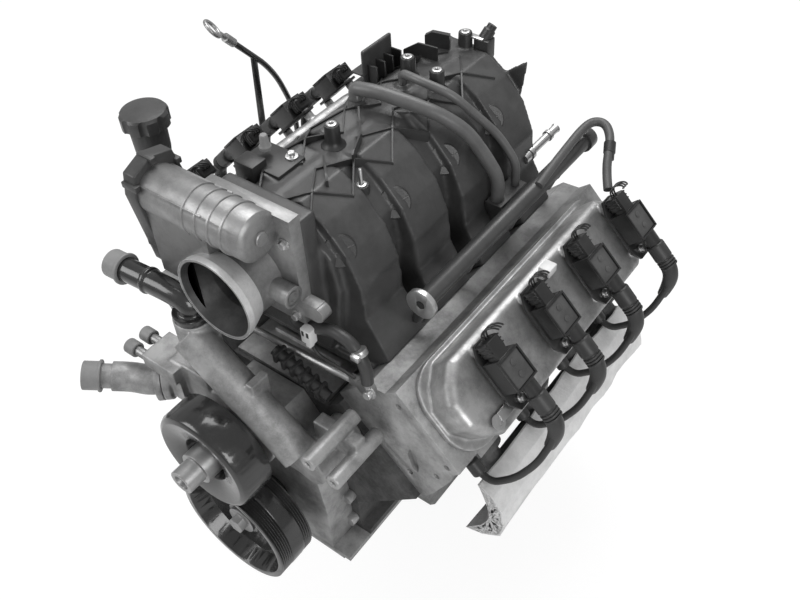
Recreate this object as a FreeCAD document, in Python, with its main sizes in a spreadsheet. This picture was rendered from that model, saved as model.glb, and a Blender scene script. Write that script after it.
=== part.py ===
import FreeCAD, Part
import math
import os
import re
import Sketcher
from FreeCAD import Placement, Rotation, Vector

os.makedirs("parts", exist_ok=True)
doc = FreeCAD.newDocument("truck_engine")

# Frame: origin on the crankshaft axis at the block's rear face, +Y rearwards, +Z up, millimetres.
# A station is a distance ahead of that rear face. Bank sizes: height runs from the crankshaft
# axis along the bore, side runs across the bank, outwards to the exhaust.
SIZES = {
    # Block and banks
    "deck_height": 234.7,
    "deck_outer": 88,
    "deck_inner": 80,
    "block_length": 520,
    "bore": 96,
    "bore_spacing": 111.76,
    "bank_offset": 24,
    "first_bore": 85,
    "bore_foot": 84,
    "valley_floor": 200,
    "bank_foot": 110,
    "skirt_half": 118,
    "skirt_depth": 78,
    "rail_half": 136,
    "rail_height": 12,
    "bulkhead": 24.6,
    "crankcase_half": 100,
    "crankcase_shoulder": 15,
    "crankcase_roof": 88,
    "crankcase_roof_half": 60,
    "housing_flange": 16,
    "housing_half": 205,
    "housing_top": 192,
    "housing_top_half": 60,
    "housing_shoulder": 66,
    "housing_hole": 5.5,
    "mount_face": 150,
    "mount_station": 300,
    "mount_drop": 20,
    "mount_bolts_long": 98,
    "mount_bolts_high": 60,
    "mount_hole": 5,
    "mount_margin": 13,
    "plug_disc": 21,
    "plug_sunk": 3,
    "plug_height": 165,
    # Crankshaft and main bearings
    "main_journal": 32.5,
    "main_width": 26,
    "rod_journal": 26.65,
    "rod_journal_width": 48,
    "crank_throw": 46,
    "counterweight": 75,
    "web_hub": 40,
    "web_nose": 35,
    "running_gap": 0.05,
    "cap_half": 66,
    "cap_depth": 70,
    "cap_foot_half": 44,
    "snout": 18.6,
    "snout_end": 640,
    "rear_boss": 41,
    "crank_flange": 47,
    "crank_flange_end": 22,
    "flange_bolt_circle": 79,
    "flange_hole": 5.5,
    "pilot_bore": 21.65,
    "pilot_depth": 22,
    # Pistons
    "rod_length": 154.9,
    "crown_height": 33.6,
    "piston_length": 56,
    "piston_gap": 0.05,
    "skirt_wall": 4,
    "wrist_pin": 12,
    # Camshaft and timing drive
    "cam_height": 124.8,
    "cam_journal": 27.4,
    "cam_core": 15,
    "cam_base": 19,
    "cam_lift": 7.2,
    "cam_nose": 7,
    "lobe_width": 11,
    "chain_pitch": 9.525,
    "chain_station": 535,
    "tooth_width": 5.6,
    "roller": 3.1,
    "roller_gap": 0.15,
    "chain_band": 4.2,
    "chain_plate": 1.6,
    "cam_bolt_circle": 44,
    # Front cover and oil pump
    "cover_depth": 50,
    "cover_wall": 5,
    "cover_top": 208,
    "cover_top_half": 46,
    "cover_shoulder": 150,
    "cover_shoulder_half": 86,
    "cover_knee": 20,
    "cover_knee_half": 104,
    "seal_hub": 24,
    "oil_pump_radius": 52,
    "oil_pump_depth": 17,
    # Damper pulley
    "damper_radius": 95.5,
    "damper_front": 661,
    "damper_width": 62,
    "damper_groove": 3.2,
    "groove_pitch": 3.56,
    # Water pump
    "pump_height": 179,
    "pump_back": 572,
    "pump_front": 606,
    "pump_body": 62,
    "pump_leg_side": 118,
    "pump_leg_height": 176,
    "pump_leg": 27,
    "pump_shaft": 8,
    "pump_bearing": 19,
    "pump_nose": 624,
    "impeller": 40,
    "pulley_radius": 78,
    "pulley_front": 676,
    "pulley_width": 50,
    "pulley_wall": 4,
    "hub_radius": 33,
    "fan_nose": 18,
    "fan_nose_end": 710,
    # Heads and covers, in bank sizes above the deck
    "gasket": 1.3,
    "head_length": 487,
    "head_centre_station": 267.5,
    "head_inner": 90,
    "head_outer": 93,
    "head_rail": 114,
    "rail_inner": 70,
    "rail_outer": 62,
    "intake_face_top": 84,
    "exhaust_face_top": 84,
    "cover_rail": 8,
    "cover_height": 50,
    "cover_length": 462,
    "cover_corner": 48,
    "cover_inset": 7,
    "coil_first": 415,
    "coil_first_right": 384,
    "screw_hole": 3.2,
    "coil_pitch": 109,
    "coil_stand": 12,
    "port_station": 28,
    "filler_across": 283,
    "filler_up": 300,
    "filler_station": 425,
    # Intake manifold
    "plenum_top": 486,
    "plenum_half": 96,
    "plenum_foot": 262,
    "manifold_front": 505,
    "manifold_rear": 44,
    "runner_width": 76,
    "runner_pitch": 108,
    "injector_first": 402,
    "runner_half": 124,
    "flange_thick": 14,
    "throttle_height": 408,
    "throttle_bore": 39,
    "throttle_lip": 57,
    "throttle_lip_front": 590,
    "throttle_flange_front": 522,
    "plate_thick": 3,
    "rail_radius": 12.5,
    "rail_side": 172,
    "rail_level": 356,
    "rail_front": 421,
    "rail_rear": -4,
    # Oil pan
    "pan_wall": 4,
    "pan_shallow": 128,
    "sump_bottom": 288,
    "sump_front": 330,
    "sump_rear": 30,
    "sump_half": 108,
    "pan_flange": 8,
}

sheet = doc.addObject("Spreadsheet::Sheet", "sizes")
for row, (alias, size) in enumerate(SIZES.items(), start=1):
    sheet.set("A%d" % row, alias)
    sheet.set("B%d" % row, str(size))
    sheet.setAlias("B%d" % row, alias)
doc.recompute()

K = "sqrt(0.5)"
UP = Rotation()
TO_REAR = Rotation(Vector(1, 0, 0), -90)
TO_FRONT = Rotation(Vector(1, 0, 0), 90)
TO_LEFT_SIDE = Rotation(Vector(0, 1, 0), 90)
LEFT_BANK = Rotation(Vector(0, 1, 0), 45)
RIGHT_BANK = Rotation(Vector(0, 0, 1), 180).multiply(LEFT_BANK)
parts = []


def size(alias):
    """A driving size as it stands in the sheet."""
    return float(sheet.get(alias))


def formula(text):
    """A sheet formula written with bare size names."""
    return re.sub(r"[a-z_]+", lambda m: "sizes." + m.group() if m.group() in SIZES else m.group(), str(text))


def bind(thing, **formulas):
    for name, text in formulas.items():
        thing.setExpression(name, formula(text))
    return thing


def settle(thing, at=("0", "0", "0"), turn=UP):
    """Places a finished object by formulas for its base point."""
    thing.Placement = Placement(Vector(), turn)
    for letter, text in zip("xyz", at):
        thing.setExpression(".Placement.Base." + letter, formula(text))
    return thing


def keep(thing, label):
    thing.Label = label
    parts.append(thing)
    return thing


class Piece:
    """One sub-part as a body: sketches on its own planes, pads, pockets, turned forms, patterns."""

    def __init__(self, label):
        self.body = doc.addObject("PartDesign::Body", label)
        self.body.AllowCompound = True
        keep(self.body, label)

    def origin(self, role):
        return [item for item in self.body.Origin.OriginFeatures if item.Role == role][0]

    def sketch(self, plane, loops, lift="0", turn=None, shift=("0", "0")):
        sketch = self.body.newObject("Sketcher::SketchObject", "outline")
        sketch.AttachmentSupport = [(self.origin(plane), "")]
        sketch.MapMode = "FlatFace"
        if turn:
            sketch.AttachmentOffset = Placement(Vector(), turn)
        for letter, text in zip("xyz", shift + (lift,)):
            sketch.setExpression(".AttachmentOffset.Base." + letter, formula(text))
        for loop in loops:
            if isinstance(loop, tuple):
                self.circle(sketch, *loop)
            else:
                self.polygon(sketch, loop)
        return sketch

    def pin_point(self, sketch, edge, end, across, up, guess):
        for kind, text, value, axis in (("DistanceX", across, guess.x, -2), ("DistanceY", up, guess.y, -1)):
            if str(text) == "0":
                sketch.addConstraint(Sketcher.Constraint("PointOnObject", edge, end, axis))
                continue
            rule = sketch.addConstraint(Sketcher.Constraint(kind, -1, 1, edge, end, value))
            sketch.setExpression("Constraints[%d]" % rule, formula(text))

    def circle(self, sketch, across, up, radius):
        guess = Vector(7, 5, 0)
        edge = sketch.addGeometry(Part.Circle(guess, Vector(0, 0, 1), 10))
        rule = sketch.addConstraint(Sketcher.Constraint("Radius", edge, 10))
        sketch.setExpression("Constraints[%d]" % rule, formula(radius))
        self.pin_point(sketch, edge, 3, across, up, guess)

    def polygon(self, sketch, points):
        count = len(points)
        first = sketch.GeometryCount
        ring = [Vector(50 * math.cos(math.tau * i / count), 50 * math.sin(math.tau * i / count), 0)
                for i in range(count)]
        sketch.addGeometry([Part.LineSegment(ring[i], ring[(i + 1) % count]) for i in range(count)])
        for i in range(count):
            link = Sketcher.Constraint("Coincident", first + i, 2, first + (i + 1) % count, 1)
            sketch.addConstraint(link)
        for i, (across, up) in enumerate(points):
            self.pin_point(sketch, first + i, 1, across, up, ring[i])

    def volume(self):
        doc.recompute()
        return self.body.Shape.Volume

    def pad(self, plane, loops, length, both=False, back=False, **where):
        pad = self.body.newObject("PartDesign::Pad", "pad")
        pad.Profile = self.sketch(plane, loops, **where)
        pad.Midplane = both
        pad.Reversed = back
        pad.Refine = True
        bind(pad, Length=length)
        return pad

    def pocket(self, plane, loops, length=None, both=False, back=False, **where):
        before = self.volume()
        pocket = self.body.newObject("PartDesign::Pocket", "pocket")
        pocket.Profile = self.sketch(plane, loops, **where)
        pocket.Midplane = both
        pocket.Reversed = back
        if length is None:
            pocket.Type = "ThroughAll"
        else:
            bind(pocket, Length=length)
        if self.volume() >= before:
            raise ValueError("a pocket in %s cuts nothing" % self.body.Label)
        return pocket

    def turned(self, points, angle=360):
        """A form turned about its own Z axis; each point is a radius and a height."""
        turned = self.body.newObject("PartDesign::Revolution", "turned")
        turned.Profile = self.sketch("XZ_Plane", [points])
        turned.ReferenceAxis = (turned.Profile[0], ["V_Axis"])
        turned.Angle = angle
        turned.Refine = True
        return turned

    def repeat(self, features, axis, pitch, count):
        pattern = self.body.newObject("PartDesign::LinearPattern", "row")
        pattern.Originals = features
        pattern.Direction = (self.origin(axis), [""])
        pattern.Occurrences = count
        pattern.Mode = "Spacing"
        bind(pattern, Offset=pitch)
        self.body.Tip = pattern
        return pattern

    def ring(self, features, count, axis="Z_Axis"):
        pattern = self.body.newObject("PartDesign::PolarPattern", "ring")
        pattern.Originals = features
        pattern.Axis = (self.origin(axis), [""])
        pattern.Occurrences = count
        pattern.Angle = 360
        self.body.Tip = pattern
        return pattern

    def mirror(self, features, plane="YZ_Plane"):
        mirrored = self.body.newObject("PartDesign::Mirrored", "mirrored")
        mirrored.Originals = features
        mirrored.MirrorPlane = (self.origin(plane), [""])
        self.body.Tip = mirrored
        return mirrored

    def place(self, at=("0", "0", "0"), turn=UP):
        settle(self.body, at, turn)
        return self


def both_sides(points):
    """A closed outline from its right half, mirrored about the vertical axis."""
    other = [("-(%s)" % across, up) for across, up in reversed(points) if str(across) != "0"]
    return list(points) + other


def rectangle(low_across, low_up, high_across, high_up):
    return [(low_across, low_up), (high_across, low_up), (high_across, high_up), (low_across, high_up)]


def bank_point(height, side):
    """Across and up in the front view for a point of the left bank."""
    return ("(%s + %s) * %s" % (height, side, K), "(%s - %s) * %s" % (height, side, K))


def engine_block():
    block = Piece("engine_block")
    profile = both_sides([
        ("0", "valley_floor"),
        ("valley_floor - deck_inner * sqrt(2)", "valley_floor"),
        bank_point("deck_height", "-deck_inner"),
        bank_point("deck_height", "deck_outer"),
        bank_point("bank_foot", "deck_outer"),
        ("skirt_half", "-4"),
        ("skirt_half", "rail_height - skirt_depth"),
        ("rail_half", "rail_height - skirt_depth"),
        ("rail_half", "-skirt_depth"),
    ])
    block.pad("XZ_Plane", [profile], "block_length")
    block.pad("XZ_Plane", [both_sides([
        ("0", "housing_top"),
        ("housing_top_half", "housing_top"),
        ("housing_half", "housing_shoulder"),
        ("housing_half", "-housing_shoulder"),
        ("rail_half", "-skirt_depth"),
    ])], "housing_flange")
    half_long = "(mount_bolts_long / 2)"
    half_high = "(mount_bolts_high / 2)"
    pad_outline = rectangle(
        "-mount_station - %s - mount_margin" % half_long, "-mount_drop - %s - mount_margin" % half_high,
        "-mount_station + %s + mount_margin" % half_long, "-mount_drop + %s + mount_margin" % half_high)
    corners = [("-mount_station + %s * %s" % (i, half_long), "-mount_drop + %s * %s" % (k, half_high), "mount_hole")
               for i in (-1, 1) for k in (-1, 1)]
    block.pad("YZ_Plane", [pad_outline], "mount_face - skirt_half + 10", lift="skirt_half - 10")
    block.pad("YZ_Plane", [pad_outline], "mount_face - skirt_half + 10", back=True, lift="10 - skirt_half")
    block.pocket("YZ_Plane", corners, "22", lift="mount_face")
    block.pocket("YZ_Plane", corners, "22", back=True, lift="-mount_face")
    bay = block.pocket("XZ_Plane", [both_sides([
        ("crankcase_roof_half", "crankcase_roof"),
        ("crankcase_half", "crankcase_shoulder"),
        ("crankcase_half", "-skirt_depth - 1"),
    ])], "bore_spacing - bulkhead",
        lift="block_length - first_bore - bank_offset / 2 + (bore_spacing - bulkhead) / 2")
    block.repeat([bay], "Y_Axis", "bore_spacing", 4)
    block.pocket("XZ_Plane", [rectangle("-cap_half", "-skirt_depth - 1", "cap_half", "0")], both=True)
    block.pocket("XZ_Plane", [("0", "0", "main_journal + running_gap")], both=True)
    block.pocket("XZ_Plane", [("0", "0", "rear_boss + 1")], "housing_flange + 2", back=True)
    block.pocket("XZ_Plane", [("0", "cam_height", "cam_journal + running_gap")], both=True)
    for turn, sign, start in ((45, "", "0"), (-45, "-", "bank_offset")):
        rows = block.pocket(
            "XY_Plane", [("0", "first_bore + %s - block_length" % start, "bore / 2")], "deck_height - bore_foot",
            turn=Rotation(Vector(0, 1, 0), turn), shift=(sign + "deck_height * " + K, "0"),
            lift="deck_height * " + K)
        block.repeat([rows], "Y_Axis", "bore_spacing", 4)
        side = "1" if turn > 0 else "-1"
        seats = block.pocket(
            "XY_Plane", [("0", "first_bore + %s + bore_spacing / 2 - block_length" % start, "plug_disc")],
            "plug_sunk", turn=Rotation(Vector(0, 1, 0), 135 if turn > 0 else -135),
            shift=("%s * (plug_height + deck_outer) * %s" % (side, K), "0"),
            lift="(plug_height - deck_outer) * " + K)
        block.repeat([seats], "Y_Axis", "bore_spacing", 3)
    for level in ("housing_top - 14", "58", "-48"):
        across = "34" if level.startswith("housing") else "housing_half - 16"
        holes = [(sign + "(" + across + ")", level, "housing_hole") for sign in ("", "-")]
        block.pocket("XZ_Plane", holes, "housing_flange", back=True)


def cylinder(radius, length, at=("0", "0", "0"), turn=UP, angle=None):
    thing = bind(doc.addObject("Part::Cylinder", "cylinder"), Radius=radius, Height=length)
    if angle is not None:
        thing.Angle = angle
    return settle(thing, at, turn)


def brick(long, wide, high, at=("0", "0", "0"), turn=UP):
    thing = bind(doc.addObject("Part::Box", "brick"), Length=long, Width=wide, Height=high)
    return settle(thing, at, turn)


def joined(label, things, refine=True):
    fuse = doc.addObject("Part::MultiFuse", "joined")
    fuse.Shapes = things
    fuse.Refine = refine
    return keep(fuse, label) if label else fuse


def without(label, base, tools):
    cut = doc.addObject("Part::Cut", "cut")
    cut.Base = base
    cut.Tool = tools[0] if len(tools) == 1 else joined(None, tools)
    return keep(cut, label) if label else cut


def main_bearing_caps():
    caps = Piece("main_bearing_caps")
    cap = caps.pad("XZ_Plane", [both_sides([
        ("cap_half", "0"),
        ("cap_half", "-cap_depth * 0.4"),
        ("cap_foot_half", "-cap_depth"),
    ])], "bulkhead", lift="block_length - first_bore - bank_offset / 2 + (bore_spacing - bulkhead) / 2")
    caps.repeat([cap], "Y_Axis", "bore_spacing", 5)
    caps.pocket("XZ_Plane", [("0", "0", "main_journal + running_gap")], both=True)


# The rear-view angle of each crank throw, from straight up towards the left bank.
THROWS = (45, 135, 315, 225)
PAIR = "(block_length - first_bore - bank_offset / 2 - %d * bore_spacing)"


def crankshaft():
    cheek = "((bore_spacing - main_width - rod_journal_width) / 2)"
    front_main = "(block_length - first_bore - bank_offset / 2 + bore_spacing / 2 + main_width / 2)"
    solids = [
        cylinder("main_journal", front_main, ("0", "-" + front_main, "0"), TO_REAR),
        cylinder("snout", "snout_end - %s" % front_main, ("0", "-snout_end", "0"), TO_REAR),
        cylinder("rear_boss", "housing_flange", ("0", "-housing_flange", "0"), TO_REAR),
        cylinder("crank_flange", "crank_flange_end", ("0", "0", "0"), TO_REAR),
    ]
    for index, angle in enumerate(THROWS):
        across = "crank_throw * sin(%d)" % angle
        up = "crank_throw * cos(%d)" % angle
        pair = PAIR % index
        reach = "rod_journal_width / 2"
        solids.append(cylinder("rod_journal", "rod_journal_width",
                               (across, "-%s - %s" % (pair, reach), up), TO_REAR))
        for start in ("-%s - %s - %s" % (pair, reach, cheek), "-%s + %s" % (pair, reach)):
            turn = Rotation(Vector(0, 1, 0), angle)
            lean = Rotation(Vector(0, 1, 0), 90 + angle - 75).multiply(TO_REAR)
            solids.append(cylinder("counterweight", cheek, ("0", start, "0"), lean, 150))
            solids.append(cylinder("web_hub", cheek, ("0", start, "0"), TO_REAR))
            solids.append(cylinder("web_nose", cheek, (across, start, up), TO_REAR))
            side = "web_nose * 0.98"
            solids.append(brick("2 * " + side, cheek, "crank_throw", (
                "-%s * cos(%d)" % (side, angle), start, "%s * sin(%d)" % (side, angle)), turn))
    tools = [
        cylinder("pilot_bore", "pilot_depth", ("0", "crank_flange_end - pilot_depth", "0"), TO_REAR),
        cylinder("8.05", "40", ("0", "-snout_end", "0"), TO_REAR),
    ]
    for index in range(6):
        angle = 60 * index + 30
        tools.append(cylinder("flange_hole", "18", ("flange_bolt_circle / 2 * cos(%d)" % angle,
                                                    "crank_flange_end - 18",
                                                    "flange_bolt_circle / 2 * sin(%d)" % angle), TO_REAR))
    without("crankshaft", joined(None, solids), tools)


def piston(label, index, left):
    """A cast piston with three ring grooves, an open skirt and its pin hole, at its own height."""
    body = Piece(label)
    outer = "(bore / 2 - piston_gap)"
    groove = "(bore / 2 - 4)"
    points = [("0", "crown_height"), (outer, "crown_height")]
    for top in (5, 10.5, 16):
        points += [(outer, "crown_height - %s" % top), (groove, "crown_height - %s" % top),
                   (groove, "crown_height - %s" % (top + 1.5)), (outer, "crown_height - %s" % (top + 1.5))]
    points += [(outer, "crown_height - piston_length"), (outer + " - skirt_wall", "crown_height - piston_length"),
               (outer + " - skirt_wall", "crown_height - 21"), ("0", "crown_height - 21")]
    body.turned(points)
    boss = rectangle("-wrist_pin - 6", "-wrist_pin - 5", "wrist_pin + 6", "crown_height - 19")
    body.pad("XZ_Plane", [boss], "bore / 2 - 6 - 20", lift="20")
    body.pad("XZ_Plane", [boss], "bore / 2 - 6 - 20", lift="-20", back=True)
    body.pocket("XZ_Plane", [("0", "0", "wrist_pin")], both=True)
    relative = THROWS[index] - (45 if left else -45)
    height = "(crank_throw * cos(%d) + sqrt(rod_length ^ 2 - (crank_throw * sin(%d)) ^ 2))" % (relative, relative)
    start = "0" if left else "bank_offset"
    body.place(("%s%s * %s" % ("" if left else "-", height, K),
                "first_bore + %s + %d * bore_spacing - block_length" % (start, index), height + " * " + K),
               LEFT_BANK if left else RIGHT_BANK)


def cam_lobe(base, nose, lift, start, width, angle):
    """One lobe: base circle, nose circle and the straight flanks that touch both."""
    reach = base + lift - nose
    lean = math.asin((base - nose) / reach)
    flank = Vector(math.cos(lean), 0, math.sin(lean))
    other = Vector(-flank.x, 0, flank.z)
    tip = Vector(0, 0, reach)
    edges = [
        Part.Arc(flank * base, Vector(0, 0, -base), other * base).toShape(),
        Part.LineSegment(other * base, tip + other * nose).toShape(),
        Part.Arc(tip + other * nose, tip + Vector(0, 0, nose), tip + flank * nose).toShape(),
        Part.LineSegment(tip + flank * nose, flank * base).toShape(),
    ]
    lobe = Part.Face(Part.Wire(edges)).extrude(Vector(0, width, 0))
    lobe.rotate(Vector(), Vector(0, 1, 0), angle)
    lobe.translate(Vector(0, start, size("cam_height")))
    return lobe


def camshaft():
    """Core, five journals and sixteen lobes at the angles of the firing order."""
    centre = Vector(0, 0, size("cam_height"))
    rearward = Vector(0, 1, 0)
    spacing = size("bore_spacing")
    pair = size("block_length") - size("first_bore") - size("bank_offset") / 2
    front = size("block_length") + 4
    solids = []
    core = Part.makeCylinder(size("cam_core"), front - 12, centre + Vector(0, -front, 0), rearward)
    for index in range(5):
        middle = pair + spacing / 2 - index * spacing
        solids.append(Part.makeCylinder(size("cam_journal"), size("main_width"),
                                        centre + Vector(0, -middle - size("main_width") / 2, 0), rearward))
    turns = ((0, 270), (135, 315), (90, 225), (180, 45))
    for index, (left_turn, right_turn) in enumerate(turns):
        for offset, turn in ((-30, left_turn), (-10, left_turn + 110), (10, right_turn), (30, right_turn + 110)):
            start = -(pair - index * spacing) + offset - size("lobe_width") / 2
            solids.append(cam_lobe(size("cam_base"), size("cam_nose"), size("cam_lift"), start,
                                   size("lobe_width"), turn))
    shaft = doc.addObject("Part::Feature", "camshaft")
    shaft.Shape = core.multiFuse(solids)
    keep(shaft, "camshaft")


def sprocket(label, teeth, bore, hub, at_height, phase):
    """A toothed wheel whose gaps seat the chain's rollers on the pitch circle."""
    wheel = Piece(label)
    pitch_radius = "(chain_pitch / 2 / sin(%s))" % (180 / teeth)
    wheel.pad("XY_Plane", [("0", "0", pitch_radius + " + roller * 0.7")], "tooth_width", both=True)
    gap = wheel.pocket("XY_Plane", [(pitch_radius + " * cos(%s)" % phase, pitch_radius + " * sin(%s)" % phase,
                                     "roller + roller_gap")], both=True)
    mouth = [("(%s + %s) * cos(%s) %s (roller + roller_gap + %s) * sin(%s)" % (
        pitch_radius, lift, phase, lean, lift * 0.4, phase),
        "(%s + %s) * sin(%s) %s (roller + roller_gap + %s) * cos(%s)" % (
        pitch_radius, lift, phase, "-" if lean == "+" else "+", lift * 0.4, phase))
        for lift, lean in ((0, "-"), (4, "-"), (4, "+"), (0, "+"))]
    flare = wheel.pocket("XY_Plane", [mouth], both=True)
    wheel.ring([gap, flare], teeth)
    wheel.pad("XY_Plane", [("0", "0", hub)], "chain_station - block_length - running_gap * 4", back=True)
    wheel.pocket("XY_Plane", [("0", "0", bore)], both=True)
    wheel.place(("0", "-chain_station", at_height), TO_FRONT)
    return wheel


def timing_chain():
    """Two plate bands joined by rollers that lie in the gaps of both sprockets."""
    small = size("chain_pitch") / 2 / math.sin(math.pi / CRANK_TEETH)
    large = size("chain_pitch") / 2 / math.sin(math.pi / (2 * CRANK_TEETH))
    height = size("cam_height")
    lean = math.asin((large - small) / height)
    normal = Vector(math.cos(lean), 0, -math.sin(lean))
    other = Vector(-normal.x, 0, normal.z)
    top = Vector(0, 0, height)

    def loop(extra):
        low, high = small + extra, large + extra
        wire = Part.Wire([
            Part.Arc(other * low, Vector(0, 0, -low), normal * low).toShape(),
            Part.LineSegment(normal * low, top + normal * high).toShape(),
            Part.Arc(top + normal * high, top + Vector(0, 0, high), top + other * high).toShape(),
            Part.LineSegment(top + other * high, other * low).toShape(),
        ])
        return Part.Face(wire).extrude(Vector(0, size("chain_plate"), 0))

    low_seat, low_count = math.tau / CRANK_TEETH, 4
    high_seat, high_count = low_seat / 2, 17

    def seated(index):
        """Roller index, counted up the left bank's side from the chain's lowest point."""
        if index <= low_count:
            angle = index * low_seat
            return Vector(small * math.sin(angle), 0, -small * math.cos(angle))
        if index >= high_count:
            angle = (28.5 - index) * high_seat
            return top + Vector(large * math.sin(angle), 0, large * math.cos(angle))
        share = (index - low_count) / (high_count - low_count)
        return seated(low_count) * (1 - share) + seated(high_count) * share

    half = size("tooth_width") / 2 + 0.4
    band = size("chain_band")
    station = size("chain_station")
    bands = []
    for start in (-half - size("chain_plate"), half):
        strip = loop(band).cut(loop(-band))
        strip.translate(Vector(0, start - station, 0))
        bands.append(strip)
    rollers = []
    for index in range(29):
        spot = seated(index)
        for side in ((1, -1) if index else (1,)):
            rollers.append(Part.makeCylinder(size("roller"), 2 * half,
                                             Vector(side * spot.x, -station - half, spot.z), Vector(0, 1, 0)))
    chain = doc.addObject("Part::Feature", "timing_chain")
    chain.Shape = Part.makeCompound(bands + rollers)
    keep(chain, "timing_chain")


CRANK_TEETH = 20


def cover_outline(inset):
    return both_sides([
        ("0", "cover_top - (%s)" % inset),
        ("cover_top_half - (%s) / 2" % inset, "cover_top - (%s)" % inset),
        ("cover_shoulder_half - (%s)" % inset, "cover_shoulder"),
        ("cover_knee_half - (%s)" % inset, "cover_knee"),
        ("cover_knee_half - (%s)" % inset, "-skirt_depth + (%s)" % inset),
    ])


def front_cover():
    cover = Piece("front_cover")
    cover.pad("XZ_Plane", [cover_outline("0")], "cover_depth", lift="block_length")
    bolts = [("cover_knee_half + 4", "10"), ("cover_knee_half + 4", "-50"),
             ("cover_shoulder_half + 6", "112")]
    for across, up in bolts:
        for sign in ("", "-"):
            cover.pad("XZ_Plane", [(sign + "(" + across + ")", up, "9")], "14", lift="block_length")
    cover.pocket("XZ_Plane", [cover_outline("cover_wall")], "cover_depth - cover_wall", back=True,
                 lift="block_length")
    cover.pocket("XZ_Plane", [("0", "0", "seal_hub + running_gap")], both=True)


def oil_pump():
    pump = Piece("oil_pump")
    pump.pad("XZ_Plane", [("0", "0", "oil_pump_radius")], "oil_pump_depth",
             lift="block_length + cover_depth - cover_wall - 0.5 - oil_pump_depth")
    for sign in ("", "-"):
        pump.pad("XZ_Plane", [rectangle(sign + "42", "-46", sign + "60", "-12")],
                 "cover_depth - cover_wall - 0.5", lift="block_length")
    pump.pocket("XZ_Plane", [("0", "0", "snout + running_gap")], both=True)


def crank_pulley():
    """The damper: hub, web, and a rim with six grooves, a plain band and four more grooves."""
    pulley = Piece("crank_pulley")
    groove = "damper_radius - damper_groove"
    rear = "damper_front - damper_width"
    points = [
        ("snout + running_gap", "-damper_width - 33"),
        ("seal_hub", "-damper_width - 33"),
        ("seal_hub", "-damper_width + 22"),
        ("damper_radius - 21", "-damper_width + 18"),
        ("damper_radius - 17", "-damper_width"),
        ("damper_radius", "-damper_width"),
    ]
    for index in range(4):
        points += [("damper_radius", "-damper_width + 1.5 + %d * groove_pitch" % index),
                   (groove, "-damper_width + 1.5 + groove_pitch * %s" % (index + 0.5)),
                   ("damper_radius", "-damper_width + 1.5 + groove_pitch * %s" % (index + 0.95))]
    points.append(("damper_radius + 0.5", "-damper_width + 19"))
    points.append(("damper_radius + 0.5", "-26"))
    for index in range(6, 0, -1):
        points += [("damper_radius", "-1.5 - groove_pitch * %d" % index),
                   (groove, "-1.5 - groove_pitch * %s" % (index - 0.5)),
                   ("damper_radius", "-1.5 - groove_pitch * %s" % (index - 0.95))]
    points += [
        ("damper_radius", "0"),
        ("damper_radius - 9", "0"),
        ("damper_radius - 14", "-28"),
        ("seal_hub + 8", "-30"),
        ("seal_hub + 4", "-21"),
        ("snout + running_gap", "-21"),
    ]
    pulley.turned(points)
    pulley.place(("0", "-damper_front", "0"), TO_FRONT)


def hex_bolt(piece, radius, head, head_half, washer=None):
    """A hexagon head on a washer face, standing on the body's own XY plane."""
    corners = [("%s * cos(%d)" % (head_half, 60 * i), "%s * sin(%d)" % (head_half, 60 * i)) for i in range(6)]
    lift = "0"
    if washer:
        piece.pad("XY_Plane", [("0", "0", washer)], "4")
        lift = "4"
    piece.pad("XY_Plane", [corners], head, lift=lift)
    return piece


def crank_bolt():
    bolt = hex_bolt(Piece("crank_bolt"), "8", "12", "14", washer="23")
    bolt.pad("XY_Plane", [("0", "0", "8")], "32", back=True)
    bolt.place(("0", "-snout_end - 0.05", "0"), TO_FRONT)


def near(value, goal, slack=0.5):
    return abs(value - goal) < slack


def round_edges(piece, radius, choose):
    """Rounds the edges of a body's newest form that choose(edge centre, edge direction) picks."""
    doc.recompute()
    base = piece.body.Tip
    names = []
    for index, edge in enumerate(base.Shape.Edges, start=1):
        along = edge.tangentAt(edge.FirstParameter)
        if choose(edge.CenterOfMass, along):
            names.append("Edge%d" % index)
    fillet = piece.body.newObject("PartDesign::Fillet", "rounding")
    fillet.Base = (base, names)
    bind(fillet, Radius=radius)
    return fillet


def upright(centre, along):
    return abs(along.z) > 0.99


def rear_cover():
    cover = Piece("rear_cover")
    cover.pad("XZ_Plane", [both_sides([
        ("0", "cam_height + cam_journal + 6"),
        ("42", "cam_height + cam_journal + 6"),
        ("72", "cam_height - 15"),
        ("92", "30"),
        ("92", "-skirt_depth"),
    ])], "14", back=True)
    cover.pocket("XZ_Plane", [("0", "0", "crank_flange + running_gap")], both=True)


def valley_cover():
    cover = Piece("valley_cover")
    half = "valley_floor - deck_inner * sqrt(2) - 4"
    cover.pad("XY_Plane", [rectangle("-(%s)" % half, "6 - block_length", half, "-24")], "6", lift="valley_floor")
    rib = cover.pad("XY_Plane", [rectangle("-60", "60 - block_length", "60", "68 - block_length")], "5",
                    lift="valley_floor + 6")
    cover.repeat([rib], "Y_Axis", "bore_spacing", 4)


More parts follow.
